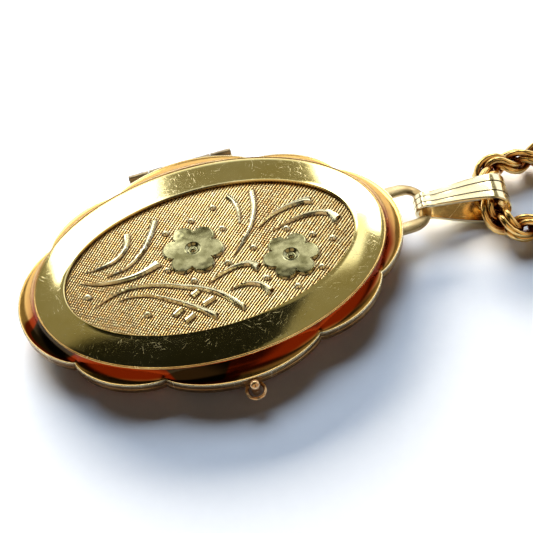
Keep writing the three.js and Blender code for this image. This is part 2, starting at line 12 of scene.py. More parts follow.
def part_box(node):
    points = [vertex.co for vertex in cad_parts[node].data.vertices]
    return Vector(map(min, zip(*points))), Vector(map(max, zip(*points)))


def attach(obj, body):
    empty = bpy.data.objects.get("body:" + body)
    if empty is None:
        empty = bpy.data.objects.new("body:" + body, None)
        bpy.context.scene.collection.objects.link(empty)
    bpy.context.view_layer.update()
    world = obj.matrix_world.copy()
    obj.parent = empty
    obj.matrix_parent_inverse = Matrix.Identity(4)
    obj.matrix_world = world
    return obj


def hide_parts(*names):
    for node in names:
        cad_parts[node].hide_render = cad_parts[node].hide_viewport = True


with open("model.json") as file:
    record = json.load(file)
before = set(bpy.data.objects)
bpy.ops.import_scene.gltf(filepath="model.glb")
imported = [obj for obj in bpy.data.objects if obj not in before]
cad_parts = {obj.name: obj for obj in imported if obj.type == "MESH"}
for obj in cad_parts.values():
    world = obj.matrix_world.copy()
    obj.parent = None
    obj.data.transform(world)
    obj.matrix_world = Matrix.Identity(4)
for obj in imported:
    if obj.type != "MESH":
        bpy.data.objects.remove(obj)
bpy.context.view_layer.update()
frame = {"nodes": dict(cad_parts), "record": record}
MM = 0.001


def add_object(name, data):
    """Puts a mesh, a camera or a light in the scene."""
    made = bpy.data.objects.new(name, data)
    bpy.context.collection.objects.link(made)
    return made


# ---------------------------------------------------------------- camera

CAMERA_AT = Vector((-3.93, -52.15, 69.59)) * MM
CAMERA_AZIMUTH = math.radians(-9.35)
CAMERA_ELEVATION = math.radians(53.02)
CAMERA_ROLL = math.radians(-8.86)
LENS, SENSOR = 66.2, 36.0


def make_camera():
    """The camera at the photograph's place, looking down on the locket from its catch side."""
    azimuth, elevation, roll = CAMERA_AZIMUTH, CAMERA_ELEVATION, CAMERA_ROLL
    back = Vector((
        math.sin(azimuth) * math.cos(elevation),
        -math.cos(azimuth) * math.cos(elevation),
        math.sin(elevation),
    ))
    level = Vector((math.cos(azimuth), math.sin(azimuth), 0))
    upright = back.cross(level)
    right = level * math.cos(roll) + upright * math.sin(roll)
    up = upright * math.cos(roll) - level * math.sin(roll)
    data = bpy.data.cameras.new("camera")
    data.lens, data.sensor_width = LENS, SENSOR
    data.clip_start, data.clip_end = 0.002, 20
    camera = add_object("camera", data)
    turn = Matrix((right, up, back)).transposed().to_4x4()
    camera.matrix_world = Matrix.Translation(CAMERA_AT) @ turn
    bpy.context.scene.camera = camera


make_camera()

# ---------------------------------------------------------------- sizes from the frame


def node_box(node):
    """Lowest and highest corner of a CAD node, in millimetres, as arrays."""
    low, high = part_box(node)
    return np.array(low) / MM, np.array(high) / MM


def middle(node):
    low, high = node_box(node)
    return (low + high) / 2


FRONT_LOW, FRONT_HIGH = node_box("front_cover")
BACK_HIGH = node_box("back_cover")[1]
PANEL_LOW, PANEL_HIGH = node_box("front_panel")

SHEET = 0.35  # thickness of the rolled gold sheet, mm, as every length here
LIP = 0.5  # height of the upright edge of each cover
COVE_RISE = 0.85  # how far the hollow climbs from the lip to the rim
BAND_RISE = 0.2  # how far the band climbs from the rim to the middle
BAND_END_WIDTH, BAND_SIDE_WIDTH = 2.7, 3.2
END_LOBE, CORNER_LOBE, SIDE_LOBE = 1.13, 0.8, 1.25  # how far each kind of scallop bulges out
LOBE_ROUNDNESS = 0.67
END_CUSP_ANGLE = math.radians(33.8)
SIDE_CUSP_ANGLE = math.radians(65.9)
CUSP_A = FRONT_HIGH[0] - END_LOBE
CUSP_B = -FRONT_LOW[1] - SIDE_LOBE
PANEL_GAP = 0.05  # between the panel and the cover round it
PANEL_A, PANEL_B = PANEL_HIGH[0] + PANEL_GAP, PANEL_HIGH[1] + PANEL_GAP
RIM_A, RIM_B = PANEL_A + BAND_END_WIDTH, PANEL_B + BAND_SIDE_WIDTH
CAD_RELIEF = 0.22  # how high the motif stands on the CAD panel
RELIEF = 0.27  # how high it stands here
PANEL_TOP = PANEL_HIGH[2] - CAD_RELIEF
PARTING = (FRONT_LOW[2] + BACK_HIGH[2]) / 2

LINE_ANGLE = math.radians(45)  # of the engraved lines from the locket's length
CROSS_ANGLE = math.radians(-34)  # of the lighter lines that cross them

# ---------------------------------------------------------------- node helpers


def link(tree, source, target):
    tree.links.new(source, target)


def value_of(tree, what, socket):
    """Puts a number, a colour or a node's output into a socket."""
    if isinstance(what, (int, float, tuple)):
        socket.default_value = what
    else:
        link(tree, what, socket)


def math_node(tree, operation, *inputs, clamp=False):
    node = tree.nodes.new("ShaderNodeMath")
    node.operation = operation
    node.use_clamp = clamp
    for socket, what in zip(node.inputs, inputs):
        value_of(tree, what, socket)
    return node.outputs[0]


def ramp(tree, value, low, high, out_low=0.0, out_high=1.0):
    """A smooth step of a value from low to high."""
    node = tree.nodes.new("ShaderNodeMapRange")
    node.interpolation_type = "SMOOTHSTEP"
    for socket, what in zip(node.inputs[:5], (value, low, high, out_low, out_high)):
        value_of(tree, what, socket)
    return node.outputs[0]


def mix(tree, factor, first, second):
    """A blend of two colours. Each is red, green and blue, or a node's output."""
    node = tree.nodes.new("ShaderNodeMix")
    node.data_type = "RGBA"
    value_of(tree, factor, node.inputs[0])
    for socket, colour in zip(node.inputs[6:8], (first, second)):
        value_of(tree, (*colour, 1) if isinstance(colour, tuple) else colour, socket)
    return node.outputs[2]


def position(tree):
    return tree.nodes.new("ShaderNodeTexCoord").outputs["Object"]


def turned(tree, vector, angle, scale):
    """Coordinates turned about Z and stretched, for lines and grain."""
    spin = tree.nodes.new("ShaderNodeMapping")
    link(tree, vector, spin.inputs["Vector"])
    spin.inputs["Rotation"].default_value = (0, 0, math.radians(angle))
    stretch = tree.nodes.new("ShaderNodeMapping")
    link(tree, spin.outputs[0], stretch.inputs["Vector"])
    stretch.inputs["Scale"].default_value = scale
    return stretch.outputs[0]


def noise(tree, vector, scale, detail=4.0, roughness=0.55):
    node = tree.nodes.new("ShaderNodeTexNoise")
    link(tree, vector, node.inputs["Vector"])
    node.inputs["Scale"].default_value = scale
    node.inputs["Detail"].default_value = detail
    node.inputs["Roughness"].default_value = roughness
    return node.outputs["Fac"]


def scratches(tree, vector, angles, along):
    """Fine straight marks in several directions, from 0 to 1."""
    across, keep = 9000.0, 0.64
    total = None
    for i, angle in enumerate(angles):
        lines = turned(tree, vector, angle, (along * (1 + 0.3 * i), across, along))
        mark = ramp(tree, noise(tree, lines, 1.0, 2.0), keep, keep + 0.08)
        patches = ramp(tree, noise(tree, vector, 260.0 + 70 * i, 2.0), 0.42, 0.62)
        mark = math_node(tree, "MULTIPLY", mark, patches)
        total = mark if total is None else math_node(tree, "MAXIMUM", total, mark)
    return total


def new_material(name):
    """A material with its node tree, its shader and the place on the part."""
    material = bpy.data.materials.new(name)
    material.use_nodes = True
    tree = material.node_tree
    return material, tree, tree.nodes["Principled BSDF"], position(tree)


def dress(tree, shader, colour, rough, metal, height, strength, depth):
    """Gives a shader its colour, roughness and share of metal, and a relief depth mm deep."""
    link(tree, colour, shader.inputs["Base Color"])
    value_of(tree, rough, shader.inputs["Roughness"])
    shader.inputs["Metallic"].default_value = metal
    relief = tree.nodes.new("ShaderNodeBump")
    relief.inputs["Strength"].default_value = strength
    relief.inputs["Distance"].default_value = depth * MM
    link(tree, height, relief.inputs["Height"])
    link(tree, relief.outputs[0], shader.inputs["Normal"])


def attribute(tree, name):
    node = tree.nodes.new("ShaderNodeAttribute")
    node.attribute_name = name
    return node.outputs["Fac"]


# ---------------------------------------------------------------- materials


# Near black: a painted dark reflection in the covers' hollows.
PAINTED_DARK_REFLECTION = (0.035, 0.022, 0.009)
WORN_GOLD = (1.0, 0.93, 0.72)


def gold(name, pale, deep, roughness, wear=0.35, marks=(12, 77, 141), reach=190.0):
    """Rolled gold: two tones in soft clouds, fine scratches and a slightly uneven polish."""
    material, tree, shader, place = new_material(name)
    clouds = ramp(tree, noise(tree, place, 210.0, 3.0), 0.36, 0.66)
    fine = noise(tree, place, 2600.0, 6.0, 0.62)
    lines = scratches(tree, place, marks, reach)
    worn = math_node(tree, "MULTIPLY", lines, wear)
    tone = mix(tree, worn, mix(tree, clouds, deep, pale), WORN_GOLD)
    rough = math_node(tree, "MULTIPLY_ADD", fine, roughness * 0.9, roughness * 0.55)
    rough = math_node(tree, "MULTIPLY_ADD", lines, 0.16, rough)
    height = math_node(tree, "MULTIPLY_ADD", lines, -0.6, fine)
    dress(tree, shader, tone, rough, 1.0, height, 0.1, 0.01)
    return material


def hollow_gold(name, pale, deep, start, end):
    """Gold that turns from pale to deep, then to near black, as its "hollow" value grows: painted
    shade, then a painted dark reflection.
    """
    material, tree, shader, place = new_material(name)
    clouds = noise(tree, place, 300.0, 3.0)
    reach = math_node(tree, "MULTIPLY_ADD", clouds, 0.3, attribute(tree, "hollow"))
    tone = mix(tree, ramp(tree, reach, start, end), pale, deep)
    tone = mix(tree, ramp(tree, reach, 1.35, 1.7), tone, PAINTED_DARK_REFLECTION)
    fine = noise(tree, place, 2200.0, 5.0)
    rough = math_node(tree, "MULTIPLY_ADD", fine, 0.14, 0.07)
    dress(tree, shader, tone, rough, 1.0, fine, 0.12, 0.01)
    return material


def engraved(tree, place, name, angle, uneven, start, end):
    """1 in the engraved lines of one direction, and 0 between them."""
    strokes = turned(tree, place, -math.degrees(angle), (330.0, 4300.0, 330.0))
    shake = math_node(tree, "SUBTRACT", noise(tree, strokes, 1.0, 1.0), 0.5)
    phase = math_node(tree, "PINGPONG", attribute(tree, name), 0.5)
    return ramp(tree, math_node(tree, "MULTIPLY_ADD", shake, uneven, phase), start, end)


def panel_gold():
    """The engraved panel: brown-gold lines, and a paler rubbed motif standing on them."""
    material, tree, shader, place = new_material("gold_engraved")
    raised = attribute(tree, "raised")
    lines = engraved(tree, place, "line", LINE_ANGLE, 0.28, 0.21, 0.31)
    cross_lines = engraved(tree, place, "cross_line", CROSS_ANGLE, 0.5, 0.27, 0.37)
    split = tree.nodes.new("ShaderNodeSeparateXYZ")
    link(tree, place, split.inputs[0])
    leftward = ramp(tree, split.outputs[0], 0.004, -0.004)
    patches = ramp(tree, noise(tree, place, 240.0, 2.0), 0.38, 0.52)
    crossed = math_node(tree, "MAXIMUM", leftward, math_node(tree, "SUBTRACT", 1.0, patches))
    hatch = math_node(tree, "MULTIPLY", cross_lines, crossed)
    speckle = noise(tree, place, 3000.0, 1.0)
    ground = mix(tree, ramp(tree, speckle, 0.3, 0.7), (1.0, 0.70, 0.28), (1.0, 0.90, 0.52))
    # The engraved and crossing lines are a real pattern; their dark brown is painted shade of the
    # cuts.
    ground = mix(tree, math_node(tree, "MULTIPLY", hatch, 0.8), ground, (0.17, 0.06, 0.010))
    ground = mix(tree, lines, ground, (0.10, 0.036, 0.006))
    # Painted shadow of the motif, dark brown on the ground.
    painted_shadow = math_node(tree, "MULTIPLY", attribute(tree, "painted_shadow"), 1.1, clamp=True)
    ground = mix(tree, painted_shadow, ground, (0.07, 0.024, 0.005))
    clouds = ramp(tree, noise(tree, place, 900.0, 4.0), 0.3, 0.7)
    petals = mix(tree, clouds, (0.19, 0.18, 0.08), (0.50, 0.48, 0.27))
    leaves = mix(tree, clouds, (0.78, 0.71, 0.42), (0.97, 0.94, 0.68))
    rubbed = mix(tree, attribute(tree, "petal"), leaves, petals)
    dull = ramp(tree, raised, 0.0, 1.0, 0.18, 0.1)
    rough = math_node(tree, "MULTIPLY_ADD", speckle, 0.08, dull)
    flat = math_node(tree, "SUBTRACT", 1.0, raised)
    rough_ground = math_node(tree, "MULTIPLY", speckle, flat)
    height = math_node(tree, "MULTIPLY_ADD", speckle, 0.1, rough_ground)
    dress(tree, shader, mix(tree, raised, ground, rubbed), rough, 1.0, height, 0.5, 0.03)
    return material


def paper_card():
    """Blank picture card: matt, with faint fibres."""
    material, tree, shader, place = new_material("picture_card_paper")
    fibre = noise(tree, turned(tree, place, 20.0, (900.0, 4200.0, 900.0)), 1.0, 5.0)
    blotch = noise(tree, place, 240.0, 3.0)
    tone = mix(tree, ramp(tree, blotch, 0.3, 0.7), (0.80, 0.75, 0.63), (0.87, 0.83, 0.73))
    tone = mix(tree, math_node(tree, "MULTIPLY", fibre, 0.25), tone, (0.70, 0.63, 0.50))
    rough = ramp(tree, fibre, 0.2, 0.8, 0.75, 0.95)
    dress(tree, shader, tone, rough, 0.0, fibre, 0.25, 0.02)
    return material


def clear_sheet():
    """The thin clear cover over a picture."""
    material, tree, shader, place = new_material("clear_sheet")
    haze = noise(tree, place, 500.0, 4.0)
    link(tree, ramp(tree, haze, 0.2, 0.9, 0.03, 0.12), shader.inputs["Roughness"])
    tint = mix(tree, haze, (0.92, 0.93, 0.90), (0.97, 0.96, 0.92))
    link(tree, tint, shader.inputs["Base Color"])
    shader.inputs["Alpha"].default_value = 0.16
    shader.inputs["IOR"].default_value = 1.49
    return material


def steel():
    """Drawn steel wire, with lines from the die."""
    material, tree, shader, place = new_material("drawn_steel")
    drawn = noise(tree, turned(tree, place, 0.0, (200.0, 9000.0, 9000.0)), 1.0, 3.0)
    tone = mix(tree, drawn, (0.42, 0.42, 0.41), (0.66, 0.65, 0.62))
    rough = ramp(tree, drawn, 0.2, 0.8, 0.2, 0.38)
    dress(tree, shader, tone, rough, 1.0, drawn, 0.2, 0.01)
    return material


def table_paper():
    """The plain white paper that everything lies on."""
    material, tree, shader, place = new_material("table_paper")
    tooth = noise(tree, place, 900.0, 5.0)
    tone = mix(tree, tooth, (0.86, 0.86, 0.87), (0.90, 0.90, 0.90))
    dress(tree, shader, tone, 0.9, 0.0, tooth, 0.08, 0.03)
    shader.inputs["Specular IOR Level"].default_value = 0.1
    return material


BAND_GOLD = gold("gold_band", (0.93, 0.82, 0.41), (0.86, 0.73, 0.30), 0.075,
                 marks=(12, 47, 83, 118, 152), reach=620.0)
INSIDE_GOLD = gold("gold_inside", (0.88, 0.74, 0.40), (0.80, 0.63, 0.30), 0.30, wear=0.15)
BRIGHT_GOLD = gold("gold_bright", (0.96, 0.84, 0.50), (0.88, 0.72, 0.36), 0.13, wear=0.3)
LIP_GOLD = gold("gold_lip", (0.90, 0.80, 0.52), (0.78, 0.64, 0.38), 0.24, wear=0.4)
BRUSHED_GOLD = gold("gold_brushed", (0.74, 0.60, 0.34), (0.34, 0.24, 0.11), 0.3, wear=0.4)
# Dark gold: painted shade on the wall down to the panel and on the foot under the lip.
SHADED_EDGE_GOLD = gold("gold_shaded_edge", (0.46, 0.33, 0.17), (0.26, 0.16, 0.08), 0.3, wear=0.5)
DULL_GOLD = gold("gold_dull", (0.46, 0.36, 0.21), (0.24, 0.19, 0.12), 0.34, wear=0.2)
CATCH_GOLD = gold("gold_catch", (0.86, 0.60, 0.34), (0.55, 0.33, 0.16), 0.2, wear=0.2)
# Its deep tone is painted shade where the wires lie inside the chain.
CHAIN_GOLD = hollow_gold("gold_chain", (1.0, 0.70, 0.26), (0.26, 0.07, 0.007), 0.24, 0.68)
# Its deep tone is painted shade in the hollow; past 1.35 it turns to a painted dark reflection.
COVE_GOLD = hollow_gold("gold_cove", (0.80, 0.50, 0.15), (0.25, 0.026, 0.003), 0.1, 0.62)
BAIL_GOLD = gold("gold_bail", (0.99, 0.92, 0.66), (0.93, 0.84, 0.54), 0.13, wear=0.2)
SHADED_GOLD = gold("gold_shaded", (0.84, 0.60, 0.24), (0.46, 0.27, 0.08), 0.2, wear=0.2)
GROOVE_GOLD = gold("gold_groove", (0.22, 0.12, 0.05), (0.09, 0.045, 0.018), 0.4, wear=0.0)
PANEL_GOLD = panel_gold()
CARD = paper_card()
CLEAR = clear_sheet()
STEEL = steel()

# ---------------------------------------------------------------- mesh helpers


SHARP = 38  # degrees between faces, above which an edge looks sharp


def closed_mesh(name, shape):
    """A mesh from points in millimetres and faces, with every face turned outward."""
    points, faces = shape
    mesh = bpy.data.meshes.new(name)
    mesh.from_pydata((np.asarray(points, float) * MM).tolist(), [], faces)
    edit = bmesh.new()
    edit.from_mesh(mesh)
    bmesh.ops.recalc_face_normals(edit, faces=edit.faces)
    edit.to_mesh(mesh)
    edit.free()
    return mesh


def add_piece(name, mesh, body, stands_for, sharp):
    """Smooths a mesh and adds it as a piece that rides on a body and stands for CAD nodes."""
    mesh.polygons.foreach_set("use_smooth", [True] * len(mesh.polygons))
    mesh.set_sharp_from_angle(angle=math.radians(sharp))
    piece = add_object(name, mesh)
    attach(piece, body)
    if stands_for:
        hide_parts(*stands_for)
    return piece


def make_piece(name, shape, materials, body, stands_for=(), picks=None, sharp=SHARP):
    """A piece from a closed shape. picks gives each face's place in a list of materials."""
    mesh = closed_mesh(name, shape)
    for material in materials if isinstance(materials, list) else [materials]:
        mesh.materials.append(material)
    if picks is not None:
        mesh.polygons.foreach_set("material_index", np.asarray(picks, np.int32))
    return add_piece(name, mesh, body, stands_for, sharp)


def add_layer(mesh, name, values):
    """A value at every point of a mesh, for its material to read."""
    layer = mesh.attributes.new(name, "FLOAT", "POINT")
    layer.data.foreach_set("value", np.asarray(values, np.float32))


def skin(rings, wrap=False, capped=False):
    """Points and faces of a surface through rings that all have the same number of points."""
    rings = np.asarray(rings, float)
    count, around = rings.shape[:2]
    faces = []
    for r in range(count if wrap else count - 1):
        low, high = r * around, ((r + 1) % count) * around
        for i in range(around):
            j = (i + 1) % around
            faces.append((low + i, low + j, high + j, high + i))
    if capped:
        last = (count - 1) * around
        faces.append(tuple(range(around)))
        faces.append(tuple(last + i for i in range(around)))
    return rings.reshape(-1, 3), faces


def cut_away(piece, shape):
    """Takes a closed shape out of a piece."""
    cutter = add_object("cutter", closed_mesh("cutter", shape))
    modifier = piece.modifiers.new("cut", "BOOLEAN")
    modifier.operation = "DIFFERENCE"
    modifier.solver = "EXACT"
    modifier.object = cutter
    graph = bpy.context.evaluated_depsgraph_get()
    mesh = bpy.data.meshes.new_from_object(piece.evaluated_get(graph))
    piece.modifiers.clear()
    piece.data = mesh
    bpy.data.objects.remove(cutter)
    mesh.set_sharp_from_angle(angle=math.radians(SHARP))


def circle(count):
    """Angles evenly round a whole turn."""
    return np.linspace(0, 2 * math.pi, count, endpoint=False)


def unit(rows):
    """The same directions, each with a length of one."""
    return rows / np.linalg.norm(rows, axis=-1, keepdims=True)


def lathe(profile, sides):
    """Rings round the Z axis from (radius, height) pairs."""
    turns = circle(sides)
    return [
        np.stack([r * np.cos(turns), r * np.sin(turns), np.full(sides, z)], axis=1)
        for r, z in profile
    ]


def onto_axis(rings, origin, axis, reference=(0, 0, 1)):
    """Moves rings made round Z so that their axis points along axis from origin."""
    forward = unit(np.array(axis, float))
    side = unit(np.cross(reference, forward))
    other = np.cross(forward, side)
    turn = np.stack([side, other, forward], axis=1)
    return [ring @ turn.T + np.asarray(origin) for ring in rings]


def smooth_line(points, per_span):
    """A centripetal Catmull-Rom line through points, as the CAD's curves are."""
    points = np.asarray(points, float)
    ends = [2 * points[0] - points[1], *points, 2 * points[-1] - points[-2]]
    made = []
    for i in range(1, len(ends) - 2):
        p = ends[i - 1:i + 3]
        t = [0.0]
        for a, b in zip(p, p[1:]):
            t.append(t[-1] + max(np.linalg.norm(b - a), 1e-9) ** 0.5)
        for at in np.linspace(t[1], t[2], per_span, endpoint=False):
            near = [
                ((t[k + 1] - at) * p[k] + (at - t[k]) * p[k + 1]) / (t[k + 1] - t[k])
                for k in range(3)
            ]
            wide = [
                ((t[k + 2] - at) * near[k] + (at - t[k]) * near[k + 1]) / (t[k + 2] - t[k])
                for k in range(2)
            ]
            made.append(((t[2] - at) * wide[0] + (at - t[1]) * wide[1]) / (t[2] - t[1]))
    return np.array([*made, points[-1]])


def lengths_along(line):
    return np.concatenate([[0], np.cumsum(np.linalg.norm(np.diff(line, axis=0), axis=1))])


def arc_line(centre, radius, start, end, count):
    """Points on a level arc between two angles in degrees."""
    turns = np.radians(np.linspace(start, end, count))
    return np.array([
        (centre[0] + radius * math.cos(t), centre[1] + radius * math.sin(t), centre[2])
        for t in turns
    ])


def read_off(at, along, values):
    """Rows of values read off at other lengths along their line."""
    return np.stack([np.interp(at, along, column) for column in values.T], axis=1)


def spread(line, count):
    """The same line as count points, the same distance apart."""
    along = lengths_along(line)
    return read_off(np.linspace(0, along[-1], count), along, line)


def frames_along(line):
    """Tangents, normals and sides of a line, turning as little as possible along it."""
    tangents = unit(np.gradient(line, axis=0))
    normals = np.zeros_like(tangents)
    normal = np.array([0.0, 0.0, 1.0])
    for i, tangent in enumerate(tangents):
        normal = unit(normal - tangent * (normal @ tangent))
        normals[i] = normal
    return tangents, normals, np.cross(tangents, normals)


def tube_rings(line, radius, sides):
    """Rings of a round tube along a line. The radius may change from point to point."""
    line = np.asarray(line, float)
    _, normals, across = frames_along(line)
    radii = np.broadcast_to(radius, len(line))
    turns = circle(sides)
    return [
        p + r * (np.cos(turns)[:, None] * n + np.sin(turns)[:, None] * s)
        for p, r, n, s in zip(line, radii, normals, across)
    ]


DOME_RINGS = 4


def rounded_tube(line, radius, sides):
    """The closed shape of a tube with domed ends."""
    line = np.asarray(line, float)
    start, end = unit(line[0] - line[1]), unit(line[-1] - line[-2])
    quarter = np.linspace(0.1, math.pi / 2, DOME_RINGS)
    head = [line[0] + start * radius * math.cos(q) for q in quarter]
    tail = [line[-1] + end * radius * math.cos(q) for q in quarter[::-1]]
    sizes = [radius * math.sin(q) for q in quarter]
    full = np.array([*head, *line[1:-1], *tail])
    radii = [*sizes, *([radius] * (len(line) - 2)), *sizes[::-1]]
    return skin(tube_rings(full, radii, sides), capped=True)


# ---------------------------------------------------------------- the chain

CHAIN = 2.5
CHAIN_FLOOR = 1.27
CHAIN_RUN = [
    (36, 4.8, 1.27), (33.6, 3.4, 1.27), (31.4, 2.1, 1.3), (29.3, 1.95, 1.45),
    (27.4, 2.05, 1.65), (25.9, 1.2, 1.85), (25.2, -0.4, 1.9), (24.9, -2.1, 1.9),
    (24.9, -3.7, 1.75), (25.8, -5, 1.45), (27.7, -5.5, 1.3), (29.9, -6.1, 1.27),
    (31.7, -7.9, 1.27), (32.5, -10.6, 1.27), (32.6, -14.5, 1.27), (32.6, -18.6, 1.27),
    (33.3, -22.3, 1.27), (35.4, -24.9, 1.27), (38.5, -25.6, 1.27),
]
CHAIN_TAIL = [
    (65, -17.4, 1.6), (64, -20.6, 1.3), (61.7, -23.7, 1.27), (58.9, -25.2, 1.27),
    (57.5, -25.6, 1.27),
]
COIL_OUTER, COIL_INNER = 15.4, 9.6
COIL_START = math.radians(115)
COIL_TRAVEL = math.radians(1565)  # clockwise, to the place where the tail leaves it
CLIMB = math.radians(108)
COIL_STEPS_PER_TURN = 40
CHAIN_SPACING = 0.4  # from one point of the chain's line to the next


def coil_points():
    """Two layers of turns: inward on the table, then outward on top of those."""
    centre = middle("chain_coil")
    upper = CHAIN_FLOOR + CHAIN
    steps = int(COIL_TRAVEL / (2 * math.pi) * COIL_STEPS_PER_TURN)
    layer = (COIL_TRAVEL - CLIMB) / 2
    points = []
    for i in range(steps + 1):
        travel = COIL_TRAVEL * i / steps
        inward = min(travel, layer) / layer
        outward = max(travel - layer - CLIMB, 0) / layer
        risen = min(max(travel - layer, 0) / CLIMB, 1)
        radius = COIL_OUTER - (COIL_OUTER - COIL_INNER) * (inward - outward)
        height = CHAIN_FLOOR + (upper - CHAIN_FLOOR) * (risen ** 2 * (3 - 2 * risen))
        angle = COIL_START - travel
        points.append((
            centre[0] + radius * math.cos(angle), centre[1] + radius * math.sin(angle), height,
        ))
    return points


def chain_line():
    """The whole chain from its first end cap through the bail and the coil to its second."""
    coil = coil_points()
    between = [(66.75, -10.2, 3.5), (66.2, -13.6, 2.6)]
    line = smooth_line([*CHAIN_RUN[::-1], *coil, *between, *CHAIN_TAIL], 8)
    return spread(line, int(round(lengths_along(line)[-1] / CHAIN_SPACING)) + 1)


LINK_STEP = 1.12  # along the chain from one link to the next
LINK_WIRE = 0.32  # half the wire's thickness
LINK_HALF_WIDTH = CHAIN / 2 - LINK_WIRE
LINK_HALF_LENGTH = 1.75
LINK_CURL = math.radians(30)  # how much a link is twisted, per mm along the chain
LINK_TWIST = math.radians(77)  # from one link to the next


def rope_chain(line):
    """Long links, each twisted along its length and turned from the one before it."""
    along = lengths_along(line)
    frames = frames_along(line)
    around, section = 26, 8
    turns, small = circle(around), circle(section)
    grid = [
        (i * section + j, i * section + (j + 1) % section,
         ((i + 1) % around) * section + (j + 1) % section, ((i + 1) % around) * section + j)
        for i in range(around) for j in range(section)
    ]
    ahead = LINK_HALF_LENGTH * np.sin(turns)
    out = (LINK_HALF_WIDTH * np.cos(turns))[:, None]
    points, faces, depths = [], [], []
    for k, start in enumerate(np.arange(0, along[-1], LINK_STEP)):
        place = np.clip(start + ahead, 0, along[-1])
        _, normal, across = [read_off(place, along, values) for values in frames]
        twist = (k * LINK_TWIST + LINK_CURL * ahead)[:, None]
        arm = np.cos(twist) * normal + np.sin(twist) * across
        aside = np.cos(twist) * across - np.sin(twist) * normal
        centre = read_off(place, along, line)
        wire = centre + out * arm
        forward = np.roll(wire, -1, axis=0) - np.roll(wire, 1, axis=0)
        outward = unit(np.cross(forward, aside))
        for core, spot, away, flat in zip(centre, wire, outward, aside):
            ring = spot + LINK_WIRE * (
                np.cos(small)[:, None] * away + np.sin(small)[:, None] * flat
            )
            points.append(ring)
            # Painted shade: the wire's hollow value grows the nearer it lies to the chain's middle,
            # where the wires shade each other.
            depths.extend(1 - np.linalg.norm(ring - core, axis=1) / (CHAIN / 2))
        base = k * around * section
        faces.extend([tuple(base + v for v in face) for face in grid])
    piece = make_piece(
        "rope_chain", (np.concatenate(points), faces), CHAIN_GOLD, "necklace",
        ("chain_run", "chain_tail", "chain_coil"), sharp=180,
    )
    add_layer(piece.data, "hollow", depths)
    return piece


CHAIN_LINE = chain_line()
CHAIN_PIECE = rope_chain(CHAIN_LINE)


# ---------------------------------------------------------------- scalloped covers

LOBES = [
    (-END_CUSP_ANGLE, END_CUSP_ANGLE, END_LOBE),
    (END_CUSP_ANGLE, SIDE_CUSP_ANGLE, CORNER_LOBE),
    (SIDE_CUSP_ANGLE, math.pi - SIDE_CUSP_ANGLE, SIDE_LOBE),
    (math.pi - SIDE_CUSP_ANGLE, math.pi - END_CUSP_ANGLE, CORNER_LOBE),
]
LOBE_STEPS = 30


def edge_stations():
    """Angles on the ellipse through the cusps, and how far the edge bulges out at each."""
    angles, bulges = [], []
    for turn in (0, math.pi):
        for start, end, bulge in LOBES:
            even = np.arange(LOBE_STEPS) / LOBE_STEPS
            along = 0.45 * even + 0.55 * (1 - np.cos(math.pi * even)) / 2
            angles.extend(turn + start + (end - start) * along)
            bulges.extend(bulge * np.sin(math.pi * along) ** LOBE_ROUNDNESS)
    return np.array(angles), np.array(bulges)


ANGLES, BULGES = edge_stations()


def scallop(inset, z):
    """The scalloped outline, moved in by inset."""
    outward = unit(np.stack([CUSP_B * np.cos(ANGLES), CUSP_A * np.sin(ANGLES)], axis=1))
    flat = np.stack([CUSP_A * np.cos(ANGLES), CUSP_B * np.sin(ANGLES)], axis=1)
    flat = flat + outward * (BULGES - inset)[:, None]
    return np.column_stack([flat, np.full(len(ANGLES), z)])


def oval(a, b, z, count=None):
    turns = ANGLES if count is None else circle(count)
    return np.column_stack([a * np.cos(turns), b * np.sin(turns), np.full(len(turns), z)])


COVE_SWEEP = math.radians(58)
COVE_STEPS, BAND_STEPS, DOME_STEPS = 20, 8, 8
BAND_INSET = 0.2  # from the rim to the band, where the ridge stands
BAND_CROWN = 0.02
DOME_END_WIDTH, DOME_SIDE_WIDTH = 1.2, 1.1  # of the curved part round the back's flat middle


def cove(edge, rim):
    """Rings of the hollow curve from the scalloped edge to the rim, both ends left out."""
    rings = []
    for k in range(1, COVE_STEPS):
        turn = COVE_SWEEP * k / COVE_STEPS
        across = math.sin(turn) / math.sin(COVE_SWEEP)
        up = (1 - math.cos(turn)) / (1 - math.cos(COVE_SWEEP))
        ring = edge + (rim - edge) * across
        ring[:, 2] = edge[:, 2] + (rim[:, 2] - edge[:, 2]) * up
        rings.append(ring)
    return rings


def band(z_out, outset, z_in, crown):
    """Rings across the sloping band, very slightly crowned, to outset from the panel's edge."""
    outer = np.array([RIM_A, RIM_B]) - BAND_INSET
    inner = np.array([PANEL_A, PANEL_B]) + outset
    rings = []
    for k in range(BAND_STEPS + 1):
        along = k / BAND_STEPS
        z = z_out + (z_in - z_out) * along + crown * 4 * along * (1 - along)
        rings.append(oval(*(outer + (inner - outer) * along), z))
    return rings


def rim_ridge(z, facing):
    """The fine raised line round the outer edge of the band."""
    section = [
        (0.01, -0.06), (0.015, -0.02), (0.04, 0.01), (0.08, 0.022), (0.12, 0.012), (0.15, -0.015),
    ]
    return [oval(RIM_A - inset, RIM_B - inset, z + facing * rise) for inset, rise in section]


# Where a dark reflection is painted in the hollow: the angle round the locket and how far it
# reaches.
PAINTED_DARK_PATCHES = [(math.radians(199), math.radians(10)), (math.radians(256), math.radians(7))]


FRONT_NOTCH, BACK_NOTCH = 0.43, 0.6  # radii of the covers' cuts round the hinge
NOTCH_SPARE = 0.03  # free length at each end of the hinge
FOOT_INSET = 0.3  # of the flat foot under the lip
LIP_ROUND = 0.05  # how far the lip's edges are rounded
HOLLOW_INSET, HOLLOW_DROP, RIM_DROP = 0.11, 0.012, 0.1  # where the hollow meets lip and ridge


def cover_heights(parting, facing):
    """Where the lip, the hollow and the band end. facing is 1 for the front and -1 for the back."""
    lip = parting + facing * LIP
    rim = lip + facing * COVE_RISE
    return lip, rim, rim + facing * BAND_RISE


